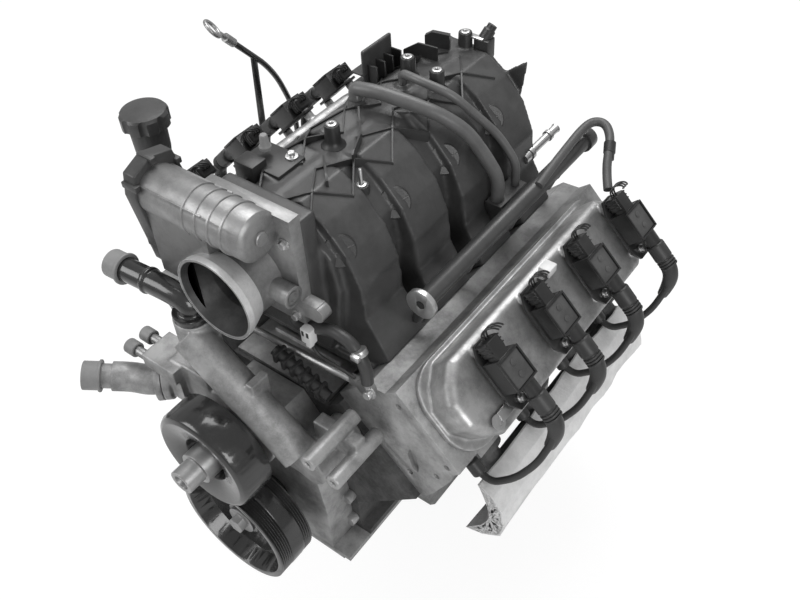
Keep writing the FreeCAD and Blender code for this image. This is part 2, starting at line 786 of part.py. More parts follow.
def oil_pan():
    pan = Piece("oil_pan")
    front = "(block_length + cover_depth)"
    pan.pad("XY_Plane", [rectangle("-rail_half", "-" + front, "rail_half", "14")], "pan_flange",
            back=True, lift="-skirt_depth")
    pan.pad("YZ_Plane", [[
        ("-%s + 6" % front, "-skirt_depth"),
        ("-%s + 14" % front, "-pan_shallow"),
        ("-sump_front - 34", "-pan_shallow - 8"),
        ("-sump_front", "-sump_bottom + 16"),
        ("-sump_front + 14", "-sump_bottom"),
        ("-sump_rear - 12", "-sump_bottom"),
        ("-sump_rear", "-sump_bottom + 14"),
        ("8", "-skirt_depth - 30"),
        ("8", "-skirt_depth"),
    ]], "2 * sump_half", both=True)
    pan.pad("XZ_Plane", [rectangle("sump_half - 10", "-skirt_depth - 46", "sump_half + 66", "-skirt_depth")],
            "92", lift="30")
    pan.pocket("XZ_Plane", [rectangle("-sump_half + pan_wall", "-pan_shallow + pan_wall",
                                      "sump_half - pan_wall", "-skirt_depth + 1")],
               "%s - 40" % front, back=True, lift="8")
    pan.pocket("YZ_Plane", [[
        ("-sump_front - 20", "-pan_shallow + pan_wall"),
        ("-sump_front + pan_wall + 8", "-sump_bottom + 16"),
        ("-sump_rear - 18", "-sump_bottom + pan_wall"),
        ("-sump_rear - pan_wall - 2", "-skirt_depth"),
        ("-sump_front - 20", "-skirt_depth"),
    ]], "2 * (sump_half - pan_wall)", both=True)
    fin = pan.pad("XZ_Plane", [rectangle("-sump_half - 4", "-sump_bottom + 20", "sump_half + 4", "-160")],
                  "5", lift="sump_front - 60")
    pan.repeat([fin], "Y_Axis", "60", 4)


def oil_filter():
    can = Piece("oil_filter")
    can.turned([("0", "0"), ("30", "0"), ("33", "-4"), ("38", "-8"), ("38", "-86"), ("33", "-94"), ("0", "-96")])
    can.place(("sump_half + 43", "-76", "-skirt_depth - 46.05"))


def drain_plug():
    plug = hex_bolt(Piece("drain_plug"), "8", "8", "9.5", washer="12")
    plug.place(("sump_half + 0.05", "-62", "-sump_bottom + 30"), TO_LEFT_SIDE)


def core_plugs():
    """Dished discs pressed in the outer walls of both banks between the bores."""
    cups = []
    for left in (True, False):
        sign = "" if left else "-"
        start = "0" if left else "bank_offset"
        face = "(deck_outer - plug_sunk)"
        turn = Rotation(Vector(0, 1, 0), 135 if left else -135)
        for index in range(3):
            at = ("%s(plug_height + %s) * %s" % (sign, face, K),
                  "first_bore + %s + (%d + 0.5) * bore_spacing - block_length" % (start, index),
                  "(plug_height - %s) * %s" % (face, K))
            outer = cylinder("plug_disc - 0.05", "plug_sunk", at, turn)
            raised = ("%s(plug_height + %s + 1) * %s" % (sign, face, K), at[1],
                      "(plug_height - %s - 1) * %s" % (face, K))
            cups.append(without(None, outer, [cylinder("plug_disc - 3", "plug_sunk", raised, turn)]))
    joined("core_plugs", cups)


HEAD_FOOT = "deck_height + gasket"


def head_gaskets():
    sheets = []
    for left in (True, False):
        turn = LEFT_BANK if left else RIGHT_BANK
        sign = "" if left else "-"
        middle = "-head_centre_station" + ("" if left else " + bank_offset")
        end = "%s %s head_length / 2" % (middle, "-" if left else "+")
        corner = ("%s(deck_height + 0.02 - deck_inner) * %s" % (sign, K), end,
                  "(deck_height + 0.02 + deck_inner) * %s" % K)
        sheet_body = brick("deck_inner + deck_outer", "head_length", "gasket - 0.04", corner, turn)
        holes = []
        for index in range(4):
            start = "0" if left else "bank_offset"
            holes.append(cylinder("bore / 2 + 1", "20", (
                "%s(deck_height - 10) * %s" % (sign, K),
                "first_bore + %s + %d * bore_spacing - block_length" % (start, index),
                "(deck_height - 10) * %s" % K), turn))
        sheets.append(without(None, sheet_body, holes))
    joined("head_gaskets", sheets)


def bore_offset(index):
    """Where a bore of a bank lies along its head, from the head's middle."""
    return "(first_bore + %d * bore_spacing - block_length + head_centre_station)" % index


def cylinder_head(label, left):
    head = Piece(label)
    top = "%s + head_rail" % HEAD_FOOT
    head.pad("XZ_Plane", [[
        ("-head_inner", HEAD_FOOT),
        ("head_outer", HEAD_FOOT),
        ("head_outer - 4", HEAD_FOOT + " + 26"),
        ("rail_outer + 10", HEAD_FOOT + " + exhaust_face_top"),
        ("rail_outer", top + " - 16"),
        ("rail_outer", top),
        ("-rail_inner", top),
        ("-rail_inner - 2", top + " - 22"),
        ("-head_inner", HEAD_FOOT + " + intake_face_top - 12"),
    ]], "head_length", both=True)
    head.pocket("XY_Plane", [rectangle("-rail_inner + 14", "-cover_length / 2 + 26", "rail_outer - 14",
                                       "cover_length / 2 - 26")], "52", lift=top)
    mirror_row = 1 if left else -1
    for index in range(4):
        along = "%d * (%s + 22)" % (mirror_row, bore_offset(index))
        head.pad("YZ_Plane", [rectangle(along + " - 29.5", HEAD_FOOT + " + 5", along + " + 29.5", HEAD_FOOT + " + 66")],
                 "head_outer - 66", lift="66")
    for kind, offset in (("exhaust", 22), ("plug", -20)):
        for index in range(4):
            along = "%d * (%s + %d)" % (mirror_row, bore_offset(index), offset)
            if kind == "exhaust":
                head.pocket("YZ_Plane", [(along, HEAD_FOOT + " + 36", "17")], "30", lift="head_outer")
            else:
                head.pocket("YZ_Plane", [(along, HEAD_FOOT + " + 62", "11")], "34.05", lift="head_outer")
    for index in range(4):
        along = "%d * (%s + 4)" % (mirror_row, bore_offset(index))
        head.pocket("YZ_Plane", [rectangle(along + " - 14", HEAD_FOOT + " + 18", along + " + 14",
                                           HEAD_FOOT + " + 66")], "30", lift="-head_inner", back=True)
    bolts = (("-50", "98"), ("50", "98"), ("61", "64"), ("49", "16"))
    for end, back in (("head_length / 2", False), ("-head_length / 2", True)):
        holes = [(side, HEAD_FOOT + " + " + up, "4.5") for side, up in bolts]
        head.pocket("XZ_Plane", holes, "22", lift=end, back=back)
        head.pocket("XZ_Plane", [[
            ("14", HEAD_FOOT + " + 52"), ("22", HEAD_FOOT + " + 58"), ("44", HEAD_FOOT + " + 42"),
            ("52", HEAD_FOOT + " + 32"), ("44", HEAD_FOOT + " + 28"), ("22", HEAD_FOOT + " + 40"),
        ]], "7", lift=end, back=back)
    middle = "-head_centre_station" + ("" if left else " + bank_offset")
    head.place(("0", middle, "0"), LEFT_BANK if left else RIGHT_BANK)


def valve_cover(label, left):
    cover = Piece(label)
    foot = HEAD_FOOT + " + head_rail"
    half = "cover_length / 2"
    cover.pad("XY_Plane", [rectangle("-rail_inner", "-" + half, "rail_outer", half)], "cover_rail", lift=foot)
    round_edges(cover, "cover_corner", upright)
    inset = "cover_inset"
    cover.pad("XY_Plane", [[
        ("-rail_inner + " + inset, "-%s + cover_corner" % half),
        ("-rail_inner + 18 + " + inset, "-%s + 16 + %s" % (half, inset)),
        ("-rail_inner + cover_corner", "-%s + %s" % (half, inset)),
        ("rail_outer - cover_corner", "-%s + %s" % (half, inset)),
        ("rail_outer - 18 - " + inset, "-%s + 16 + %s" % (half, inset)),
        ("rail_outer - " + inset, "-%s + cover_corner" % half),
        ("rail_outer - " + inset, "%s - cover_corner" % half),
        ("rail_outer - 18 - " + inset, "%s - 16 - %s" % (half, inset)),
        ("rail_outer - cover_corner", "%s - %s" % (half, inset)),
        ("-rail_inner + cover_corner", "%s - %s" % (half, inset)),
        ("-rail_inner + 18 + " + inset, "%s - 16 - %s" % (half, inset)),
        ("-rail_inner + " + inset, "%s - cover_corner" % half),
    ]], "cover_height - cover_rail", lift=foot + " + cover_rail")
    top = size("deck_height") + size("gasket") + size("head_rail") + size("cover_height")
    round_edges(cover, "13", lambda centre, along: near(centre.z, top) and abs(along.z) < 0.1)
    cover.pocket("XY_Plane", [[
        ("-rail_inner + 20", "-%s + cover_corner + 8" % half), ("-rail_inner + cover_corner", "-%s + 24" % half),
        ("rail_outer - cover_corner", "-%s + 24" % half), ("rail_outer - 20", "-%s + cover_corner + 8" % half),
        ("rail_outer - 20", "%s - cover_corner - 8" % half), ("rail_outer - cover_corner", "%s - 24" % half),
        ("-rail_inner + cover_corner", "%s - 24" % half), ("-rail_inner + 20", "%s - cover_corner - 8" % half),
    ]], "cover_height - 6", lift=foot, back=True)
    for along in coil_row(left):
        for side in ("-47", "30"):
            cover.pad("XY_Plane", [(side, along, "8")], "coil_stand + 12", lift=foot + " + cover_height - 12")
    cover.pocket("XY_Plane", [(side, along, "screw_hole") for along in coil_row(left) for side in ("-47", "30")],
                 "14", lift=foot + " + cover_height + coil_stand")
    middle = "-head_centre_station" + ("" if left else " + bank_offset")
    cover.place(("0", middle, "0"), LEFT_BANK if left else RIGHT_BANK)


def coil_row(left):
    """Where the four coils sit along their bank, from the head's middle."""
    sign, first = (1, "coil_first") if left else (-1, "coil_first_right")
    return ["%d * (head_centre_station - %s + %d * coil_pitch)" % (sign, first, index) for index in range(4)]


def coils(label, left):
    """Four ignition coils on one bank: base plate with ears, square block, socket and tower."""
    row = Piece(label)
    base = HEAD_FOOT + " + head_rail + cover_height + coil_stand"
    for along in coil_row(left):
        row.pad("XY_Plane", [[
            ("-58", along + " - 10"), ("-40", along + " - 20"), ("26", along + " - 20"), ("42", along + " - 9"),
            ("42", along + " + 9"), ("26", along + " + 20"), ("-40", along + " + 20"), ("-58", along + " + 10"),
        ]], "4", lift=base)
        row.pad("XY_Plane", [rectangle("-33", along + " - 17", "13", along + " + 19")], "33", lift=base)
        row.pad("YZ_Plane", [(along + " + 8", base + " + 22", "10.5")], "22", lift="12")
        row.pad("YZ_Plane", [rectangle(along + " - 12", base + " + 13", along + " + 8", base + " + 31")], "26",
                lift="-58")
    row.pocket("XY_Plane", [(side, along, "screw_hole") for along in coil_row(left) for side in ("-47", "30")],
               "4", lift=base + " + 4")
    middle = "-head_centre_station" + ("" if left else " + bank_offset")
    row.place(("0", middle, "0"), LEFT_BANK if left else RIGHT_BANK)


def screw(foot, aim, radius, shank, washer, head):
    """A flanged hexagon screw whose underside stands at foot, its shank going down from there."""
    corners = [Vector(head * math.cos(math.pi / 3 * i), head * math.sin(math.pi / 3 * i), 2) for i in range(6)]
    hexagon = Part.Face(Part.makePolygon(corners + [corners[0]])).extrude(Vector(0, 0, head))
    solid = Part.makeCylinder(washer, 2).multiFuse([hexagon, Part.makeCylinder(radius, shank, Vector(0, 0, -shank))])
    solid.Placement = Placement(foot, Rotation(Vector(0, 0, 1), aim))
    return solid


def cover_level():
    return size("deck_height") + size("gasket") + size("head_rail") + size("cover_height") + size("coil_stand")


def coil_rows():
    """Bank and lengthwise place of every coil in the part's frame."""
    pitch = size("coil_pitch")
    rows = [(True, index * pitch - size("coil_first")) for index in range(4)]
    right = size("bank_offset") - size("coil_first_right")
    return rows + [(False, right + index * pitch) for index in range(4)]


def coil_screws():
    screws = []
    for left, y in coil_rows():
        aim = Vector(1 if left else -1, 0, 1)
        for side in (-47, 30):
            foot = Vector(*bank_spot(cover_level() + 4.02, side, y, left))
            screws.append(screw(foot, aim, 3, 16, 6.5, 5))
    feature("coil_screws", Part.makeCompound(screws))


def intake_bolts():
    bolts = []
    for side, first in ((92, -375), (-92, -464 + 103)):
        ys = [first + index * size("runner_pitch") for index in range(3)]
        ys.append(-55.5 if side > 0 else -464)
        for y in ys:
            bolts.append(screw(Vector(side, y, size("plenum_foot") + 0.02), Vector(0, 0, 1), 4, 13, 9.5, 7))
    feature("intake_bolts", Part.makeCompound(bolts))


def route(points, share=0.45):
    """Straight runs through the points, joined by tangent arcs as large as the runs allow."""
    spots = [Vector(*point) for point in points]
    edges = []
    start = spots[0]
    for before, corner, after in zip(spots, spots[1:], spots[2:]):
        back = before - corner
        ahead = after - corner
        reach = share * min(back.Length, ahead.Length)
        back.normalize()
        ahead.normalize()
        half = back.getAngle(ahead) / 2
        radius = reach * math.tan(half)
        entry = corner + back * reach
        leave = corner + ahead * reach
        inward = back + ahead
        inward.normalize()
        middle = corner + inward * (radius / math.sin(half) - radius)
        edges.append(Part.LineSegment(start, entry).toShape())
        edges.append(Part.Arc(entry, middle, leave).toShape())
        start = leave
    edges.append(Part.LineSegment(start, spots[-1]).toShape())
    return Part.Wire(edges)


def tube(points, radius, inner=None, share=0.45):
    """A round tube or rod along a route."""
    path = route(points, share)
    spots = [Vector(*point) for point in points]
    along = spots[1] - spots[0]

    def swept(size_of):
        ring = Part.Wire([Part.Circle(spots[0], along, size_of).toShape()])
        return path.makePipeShell([ring], True, False)

    solid = swept(radius)
    return solid.cut(swept(inner)) if inner else solid


def feature(label, shape):
    thing = doc.addObject("Part::Feature", label)
    thing.Shape = shape
    return keep(thing, label)


def bank_spot(height, side, y, left=True):
    """A point of a bank in the part's frame."""
    across = (height + side) * math.sqrt(0.5)
    return (across if left else -across, y, (height - side) * math.sqrt(0.5))


def bore_row(left, offset):
    """Lengthwise places beside the four bores of a bank."""
    first = size("first_bore") - size("block_length") + offset + (0 if left else size("bank_offset"))
    return [first + index * size("bore_spacing") for index in range(4)]


def plug_leads():
    """Eight leads, each hanging from its coil's boot in a loop to the boot on its spark plug."""
    base = cover_level()
    leads = []
    plugs = bore_row(True, -20) + bore_row(False, -20)
    for (left, coil), plug in zip(coil_rows(), plugs):
        socket = coil + (8 if left else -8)
        path = [(22, 56, 0), (21, 74, 0), (4, 100, 0.12), (-38, 124, 0.42), (-74, 131, 0.75), (-104, 124, 1),
                (-114, 106, 1)]
        lead = tube([bank_spot(base + up, side, socket + (plug - socket) * share, left)
                     for up, side, share in path], 4)
        sleeves = []
        for up, side, long, y, radius in ((22, 34.1, 24, socket, 12), (-114, 86, 20.5, plug, 9)):
            start = Vector(*bank_spot(base + up, side, y, left))
            out = Vector(*bank_spot(base + up, side + 1, y, left)) - start
            sleeves.append(Part.makeCylinder(radius, long, start, out))
        leads.append(lead.multiFuse(sleeves))
    feature("plug_leads", Part.makeCompound(leads))


def spark_plugs():
    """Hexagon, insulator and terminal of each plug, seated in the head's pocket."""
    plugs = []
    height = cover_level() - 114
    for left in (True, False):
        for y in bore_row(left, -20):
            foot = Vector(*bank_spot(height, 59, y, left))
            out = Vector(*bank_spot(height, 60, y, left)) - foot
            plugs.append(Part.makeCylinder(9, 11, foot, out).fuse(Part.makeCylinder(4.5, 26.98, foot, out)))
    feature("spark_plugs", Part.makeCompound(plugs))


def exhaust_manifold(label, left):
    """A cast log with four stubs on its ports and an outlet elbow down to its flange."""
    offsets = bore_row(left, 22)
    port = size("deck_height") + size("gasket") + 36
    face = size("head_outer")
    solids = []
    for y in offsets:
        solids.append(tube([bank_spot(port, face + 0.05, y, left), bank_spot(port, face + 30, y, left),
                            bank_spot(port - 6, face + 56, y + 16, left)], 19))
        start = Vector(*bank_spot(port, face + 0.05, y, left))
        out = Vector(*bank_spot(port, face + 1.05, y, left)) - start
        solids.append(Part.makeCylinder(29, 9, start, out))
    rear = offsets[3]
    log = [bank_spot(port - 6, face + 56, offsets[0] - 6, left), bank_spot(port - 6, face + 56, rear, left),
           bank_spot(port - 30, face + 58, rear + 42, left), bank_spot(port - 88, face + 77, rear + 50, left)]
    solids.append(tube(log, 24))
    end = Vector(*log[-1])
    down = end - Vector(*log[-2])
    down.normalize()
    solids.append(Part.makeCylinder(42, 11, end, down))
    for y in (offsets[0] + 40, offsets[2] + 70):
        stay = [bank_spot(height, side, y, left) for height, side in (
            (234, 162), (250, 162), (250, 203.54), (234, 202.14))]
        profile = Part.makePolygon([Vector(*spot) for spot in stay + [stay[0]]])
        solids.append(Part.Face(profile).extrude(Vector(0, 14, 0)))
    body = solids[0].multiFuse(solids[1:])
    feature(label, body.cut(Part.makeCylinder(19, 60, end + down * 12, down * -1)))


SHIELD = ((116, 296), (140, 303), (168, 299), (193, 282), (206, 256), (203, 222), (192, 200))


def heat_shields():
    """Thin pressed sheets that wrap over each manifold's top and outer side."""
    inner = [(side * 0.992 - 0.4, height - 1.6) for side, height in reversed(SHIELD)]
    points = [Vector(side, 0, height) for side, height in list(SHIELD) + inner]
    length = 404
    shells = []
    for left in (True, False):
        shell = Part.Face(Part.makePolygon(points + [points[0]])).extrude(Vector(0, length, 0))
        start = -468 if left else size("bank_offset") + length - 468
        shell.Placement = Placement(Vector(0, start, 0), LEFT_BANK if left else RIGHT_BANK)
        shells.append(shell)
    feature("heat_shields", Part.makeCompound(shells))


def intake_manifold():
    """Moulded plenum with four arched runners on each side, seated on the heads' inner faces."""
    manifold = Piece("intake_manifold")
    crown = [
        ("0", "plenum_top"), ("34", "plenum_top - 4"), ("64", "plenum_top - 28"), ("plenum_half - 8", "430"),
        ("plenum_half", "380"), ("plenum_half - 8", "310"), ("plenum_half - 30", "plenum_foot"),
    ]
    manifold.pad("XZ_Plane", [both_sides(crown)], "manifold_front - 24 - manifold_rear - 10",
                 lift="manifold_rear + 10")
    arch = [
        ("0", "plenum_top - 2"), ("38", "plenum_top + 2"), ("72", "plenum_top - 20"), ("102", "432"),
        ("runner_half - 4", "388"), ("runner_half", "340"),
        bank_point(HEAD_FOOT + " + 74", "-head_inner"),
        bank_point(HEAD_FOOT + " + 12", "-head_inner"),
        ("60", "plenum_foot - flange_thick"),
    ]
    half = "runner_width / 2"
    front = "block_length - first_bore - 6"
    left_arch = manifold.pad("XZ_Plane", [arch], "runner_width", lift="%s - %s" % (front, half))
    manifold.repeat([left_arch], "Y_Axis", "runner_pitch", 4)
    other = [("-(%s)" % across, up) for across, up in arch]
    right_arch = manifold.pad("XZ_Plane", [other], "runner_width", lift="%s - %s - 14" % (front, half))
    manifold.repeat([right_arch], "Y_Axis", "runner_pitch", 4)
    manifold.pad("XZ_Plane", [both_sides([
        ("0", "plenum_foot"),
        ("plenum_foot - head_inner * sqrt(2)", "plenum_foot"),
        ("plenum_foot - flange_thick - head_inner * sqrt(2)", "plenum_foot - flange_thick"),
    ])], "manifold_front - 30 - manifold_rear", lift="manifold_rear")
    manifold.pad("XZ_Plane", [rectangle("-60", "throttle_height - 60", "74", "throttle_height + 92")], "26",
                 lift="manifold_front - 26")
    manifold.pad("XZ_Plane", [("0", "throttle_height", "56")], "60", lift="manifold_front - 60")
    for across, station, top in (("-4", "355", "516"), ("0", "66", "508"), ("-20", "176", "516"),
                                 ("31", "180", "514"), ("58", "380", "466")):
        boss = "(%s)" % top
        manifold.pad("XY_Plane", [(across, "-" + station, "9")], boss + " - 420", lift="420")
        manifold.pad("XY_Plane", [(across, "-" + station, "15")], "10", lift=boss + " - 42")
    manifold.pad("XY_Plane", [("-40", "-264.5", "12.5")], "43", lift="449")
    manifold.pad("XY_Plane", [("-12", "-199", "9")], "26", lift="464")
    manifold.pad("XY_Plane", [rectangle("-72", "-214", "-66", "-150")], "86", lift="440")
    manifold.pad("XZ_Plane", [[("20", "440"), ("52", "452"), ("96", "486"), ("88", "430")]], "5",
                 lift="manifold_rear + 6")
    manifold.pocket("XZ_Plane", [("0", "throttle_height", "throttle_bore")], "180", lift="manifold_front")
    spots = [("92", "-375"), ("92", "-267"), ("92", "-159"), ("92", "-55.5"),
             ("-92", "-464"), ("-92", "-361"), ("-92", "-253"), ("-92", "-145")]
    manifold.pocket("XY_Plane", [(across, up, "4.1") for across, up in spots], "flange_thick", lift="plenum_foot")


def throttle_body():
    """Cast barrel with a flared lip, a square flange and a motor housing across its top."""
    bore_turn = TO_FRONT
    front = "throttle_lip_front"
    barrel = [
        cylinder("throttle_bore + 9", "%s - manifold_front - 0.1" % front,
                 ("0", "-manifold_front - 0.1", "throttle_height"), bore_turn),
        brick("134", "throttle_flange_front - manifold_front", "160",
              ("-60", "-throttle_flange_front", "throttle_height - 56")),
        brick("100", "52", "130", ("-111", "-572", "throttle_height - 22")),
        cylinder("31", "158", ("-111", "-546", "496"), TO_LEFT_SIDE),
        cylinder("14", "36", ("36", "-534", "throttle_height"), TO_LEFT_SIDE),
        cylinder("11", "16", ("94", "-manifold_front - 17", "379"), TO_REAR),
        brick("36", "16", "24", ("60", "-manifold_front - 17", "367")),
    ]
    lip = doc.addObject("Part::Cone", "lip")
    bind(lip, Radius1="throttle_bore + 9", Radius2="throttle_lip", Height="26")
    settle(lip, ("0", "34 - %s" % front, "throttle_height"), bore_turn)
    barrel.append(lip)
    barrel.append(cylinder("throttle_lip", "8.1", ("0", "8.1 - %s" % front, "throttle_height"), bore_turn))
    mouth = doc.addObject("Part::Cone", "mouth")
    bind(mouth, Radius1="throttle_bore", Radius2="throttle_lip - 3", Height="34.5")
    settle(mouth, ("0", "34 - %s" % front, "throttle_height"), bore_turn)
    tools = [
        cylinder("throttle_bore", "200", ("0", "-manifold_front + 50", "throttle_height"), bore_turn),
        mouth,
        cylinder("5 + running_gap", "190", ("-116", "-534", "throttle_height"), TO_LEFT_SIDE),
    ]
    without("throttle_body", joined(None, barrel), tools)


def throttle_plate():
    """The round butterfly on its cross shaft."""
    disc = cylinder("throttle_bore - running_gap * 2", "2.4", ("0", "-532.8", "throttle_height"), TO_FRONT)
    shaft = cylinder("5", "168", ("-118", "-534", "throttle_height"), TO_LEFT_SIDE)
    joined("throttle_plate", [disc, shaft])


def throttle_gear_cover():
    """Moulded cover clipped over the reduction gears at the motor's end."""
    cover = Piece("throttle_gear_cover")
    outline = [
        ("-580", "500"), ("-574", "528"), ("-546", "540"), ("-514", "532"), ("-506", "500"), ("-508", "430"),
        ("-520", "388"), ("-548", "376"), ("-566", "392"), ("-572", "440"),
    ]
    cover.pad("YZ_Plane", [outline], "20", lift="-131.05")
    cover.pocket("YZ_Plane", [("-534", "throttle_height", "8")], "10", lift="-111.05")


def fuel_rails():
    """Each rail is a fuel tube with a flanged end disc at the front and a cap at the rear."""
    rails = []
    level = size("rail_level")
    rearward = Vector(0, 1, 0)
    radius = size("rail_radius")
    for left in (True, False):
        x = size("rail_side") * (1 if left else -1)
        shift = 0 if left else size("bank_offset")
        front = shift - size("rail_front")
        rear = shift - size("rail_rear")
        rail = Part.makeCylinder(radius, rear - front - 14, Vector(x, front, level), rearward)
        rail = rail.fuse(Part.makeCylinder(radius + 8.5, 7, Vector(x, front, level), rearward))
        rail = rail.fuse(Part.makeCylinder(radius + 4, 18, Vector(x, rear - 18, level), rearward))
        rail = rail.cut(Part.makeCylinder(6, 6, Vector(x, front - 1, level), rearward))
        aim = rail_aim(left)
        for y in injector_rows(left):
            top = Vector(x, y, level) + aim * (radius - 4)
            rail = rail.fuse(Part.makeCylinder(10, 14, top, aim))
        rails.append(rail)
    feature("fuel_rails", Part.makeCompound(rails))


def rail_aim(left):
    aim = Vector(-0.4 if left else 0.4, 0, -1)
    aim.normalize()
    return aim


def injector_rows(left):
    shift = 0 if left else 14
    return [-size("injector_first") + index * size("runner_pitch") + shift for index in range(4)]


def injectors():
    """Eight fuel injectors between the rails' cups and the manifold's feet."""
    bodies = []
    for left in (True, False):
        x = size("rail_side") * (1 if left else -1)
        aim = rail_aim(left)
        for y in injector_rows(left):
            top = Vector(x, y, size("rail_level")) + aim * (size("rail_radius") + 10.05)
            bodies.append(Part.makeCylinder(8, 28, top, aim).fuse(Part.makeCylinder(5, 37.6, top, aim)))
    feature("injectors", Part.makeCompound(bodies))


def water_pump_housing():
    """Cast housing: volute, two legs to the block, the outlet arm across it and its bolt bosses."""
    depth = "(pump_front - pump_back)"
    solids = [
        cylinder("pump_body", depth, ("0", "-pump_front", "pump_height"), TO_REAR),
        cylinder("pump_bearing + 9", "pump_nose - pump_front", ("0", "-pump_nose", "pump_height"), TO_REAR),
        brick("2 * pump_leg_side", depth + " - 6", "44", ("-pump_leg_side", "-pump_front + 6", "pump_leg_height - 22")),
    ]
    for side in ("", "-"):
        solids.append(cylinder("pump_leg", "pump_front - 6 - block_length - 0.05",
                               (side + "pump_leg_side", "6 - pump_front", "pump_leg_height"), TO_REAR))
    arm_lean = Rotation(Vector(0, 1, 0), 127)
    solids += [
        cylinder("25", "206", ("-58", "-598", "322"), arm_lean),
        cylinder("26", "60", ("-60", "-584", "284")),
        brick("62", "52", "24", ("-150", "-622", "223")),
        brick("40", "48", "44", ("-128", "-616", "180")),
        brick("70", "34", "74", ("-110", "-606", "176")),
        cylinder("30", "12", ("-128", "-600", "192"), aimed(INLET_AIM)),
        cylinder("11", "92", ("146", "-624", "238"), TO_REAR),
        cylinder("11", "92", ("172", "-612", "206"), TO_REAR),
        brick("70", "20", "34", ("104", "-566", "196")),
        brick("12", "30", "120", ("-40", "-602", "200")),
        brick("12", "30", "90", ("34", "-602", "200")),
    ]
    tools = [
        cylinder("impeller + 2", "15", ("0", "-pump_back - 15", "pump_height"), TO_REAR),
        cylinder("pump_shaft + running_gap", "90", ("0", "-pump_nose - 5", "pump_height"), TO_REAR),
        cylinder("19", "40", ("-60", "-584", "320")),
    ]
    for across, up in (("146", "238"), ("172", "206")):
        tools.append(cylinder("4.5", "94", (across, "-625", up), TO_REAR))
    for side in ("", "-"):
        tools.append(cylinder("pump_leg - 9", "40", (side + "pump_leg_side", "-block_length - 41", "pump_leg_height"),
                              TO_REAR))
    without("water_pump_housing", joined(None, solids, False), tools)


INLET_AIM = Vector(-0.73, -0.68, 0)


def aimed(aim):
    """The turn that takes a primitive's own axis to a direction."""
    return Rotation(Vector(0, 0, 1), aim)


def pump_back_plate():
    plate = Piece("pump_back_plate")
    plate.pad("XZ_Plane", [("0", "pump_height", "pump_body"), ], "1.4", lift="pump_back - 1.5")


def pump_shaft():
    """The pump's shaft with its six-vaned impeller behind and its pulley flange in front."""
    solids = [
        cylinder("pump_shaft", "pulley_front - 12 - pump_back - 1", ("0", "12 - pulley_front", "pump_height"), TO_REAR),
        cylinder("impeller", "4", ("0", "-pump_back - 5", "pump_height"), TO_REAR),
        cylinder("hub_radius - 4", "8", ("0", "-pump_nose - 10", "pump_height"), TO_REAR),
    ]
    for index in range(6):
        turn = Rotation(Vector(0, 1, 0), 60 * index)
        angle = 60 * index
        solids.append(brick("impeller - 12", "8", "3", ("10 * cos(%d)" % angle, "-pump_back - 13",
                                                        "pump_height - 10 * sin(%d)" % angle), turn))
    joined("pump_shaft", solids)


def pump_pulley():
    """A smooth pressed pulley with a rounded front shoulder and a dished web."""
    pulley = Piece("pump_pulley")
    wall = "pulley_wall"
    pulley.turned([
        ("pump_shaft + running_gap", "-42"), ("hub_radius", "-42"), ("hub_radius + 6", "-14"),
        ("pulley_radius - 26", "-10"), ("pulley_radius - 12", "-6"), ("pulley_radius - " + wall, "-14"),
        ("pulley_radius - " + wall, "-pulley_width"), ("pulley_radius", "-pulley_width"),
        ("pulley_radius", "-9"), ("pulley_radius - 3", "-3"), ("pulley_radius - 9", "0"),
        ("pulley_radius - 26", "-4"), ("hub_radius + 2", "-9"), ("hub_radius - 3", "-37"),
        ("pump_shaft + running_gap", "-37"),
    ])
    pulley.place(("0", "-pulley_front", "pump_height"), TO_FRONT)


def fan_hub():
    """The hub bolted in the pulley's dish, with the hollow threaded nose for a fan clutch."""
    hub = Piece("fan_hub")
    hub.turned([
        ("pump_shaft + running_gap", "-36.9"), ("hub_radius - 6", "-36.9"), ("hub_radius - 6", "-28"),
        ("fan_nose + 6", "-24"), ("fan_nose + 6", "8"), ("fan_nose", "8"),
        ("fan_nose", "fan_nose_end - pulley_front"), ("11", "fan_nose_end - pulley_front"), ("11", "-8"),
        ("pump_shaft + running_gap", "-8"),
    ])
    hub.place(("0", "-pulley_front", "pump_height"), TO_FRONT)


def thermostat_neck():
    """Cast inlet elbow on its two-bolt flange with a bright steel stub."""
    start = Vector(-136.8, -608.2, 192)
    aim = Vector(INLET_AIM)
    aim.normalize()
    path = [start + aim * 0.3, start + aim * 20, Vector(-178, -630.4, 190), Vector(-198, -648, 195)]
    neck = tube([tuple(spot) for spot in path], 21, share=0.5)
    flange = Part.makeCylinder(30, 9, start + aim * 0.3, aim)
    stub_aim = path[3] - path[2]
    stub = Part.makeCylinder(17.5, 34, path[3], stub_aim)
    feature("thermostat_neck", neck.multiFuse([flange, stub]))
    return path[3], stub_aim


def outlet_elbow():
    """Black moulded elbow that turns from the pump's top to a level pipe with ribs."""
    points = [(-60, -584, 344.2), (-60, -584, 366), (-84, -586, 372), (-178, -592, 372)]
    elbow = tube(points, 16, share=0.48)
    base = Part.makeCylinder(25, 9, Vector(-60, -584, 344.2), Vector(0, 0, 1))
    rib = Part.makeCylinder(18, 5, Vector(-122, -588.4, 372), Vector(-94, -6, 0))
    feature("outlet_elbow", elbow.multiFuse([base, rib]))
    return Vector(-178, -592, 372), Vector(-94, -6, 0)


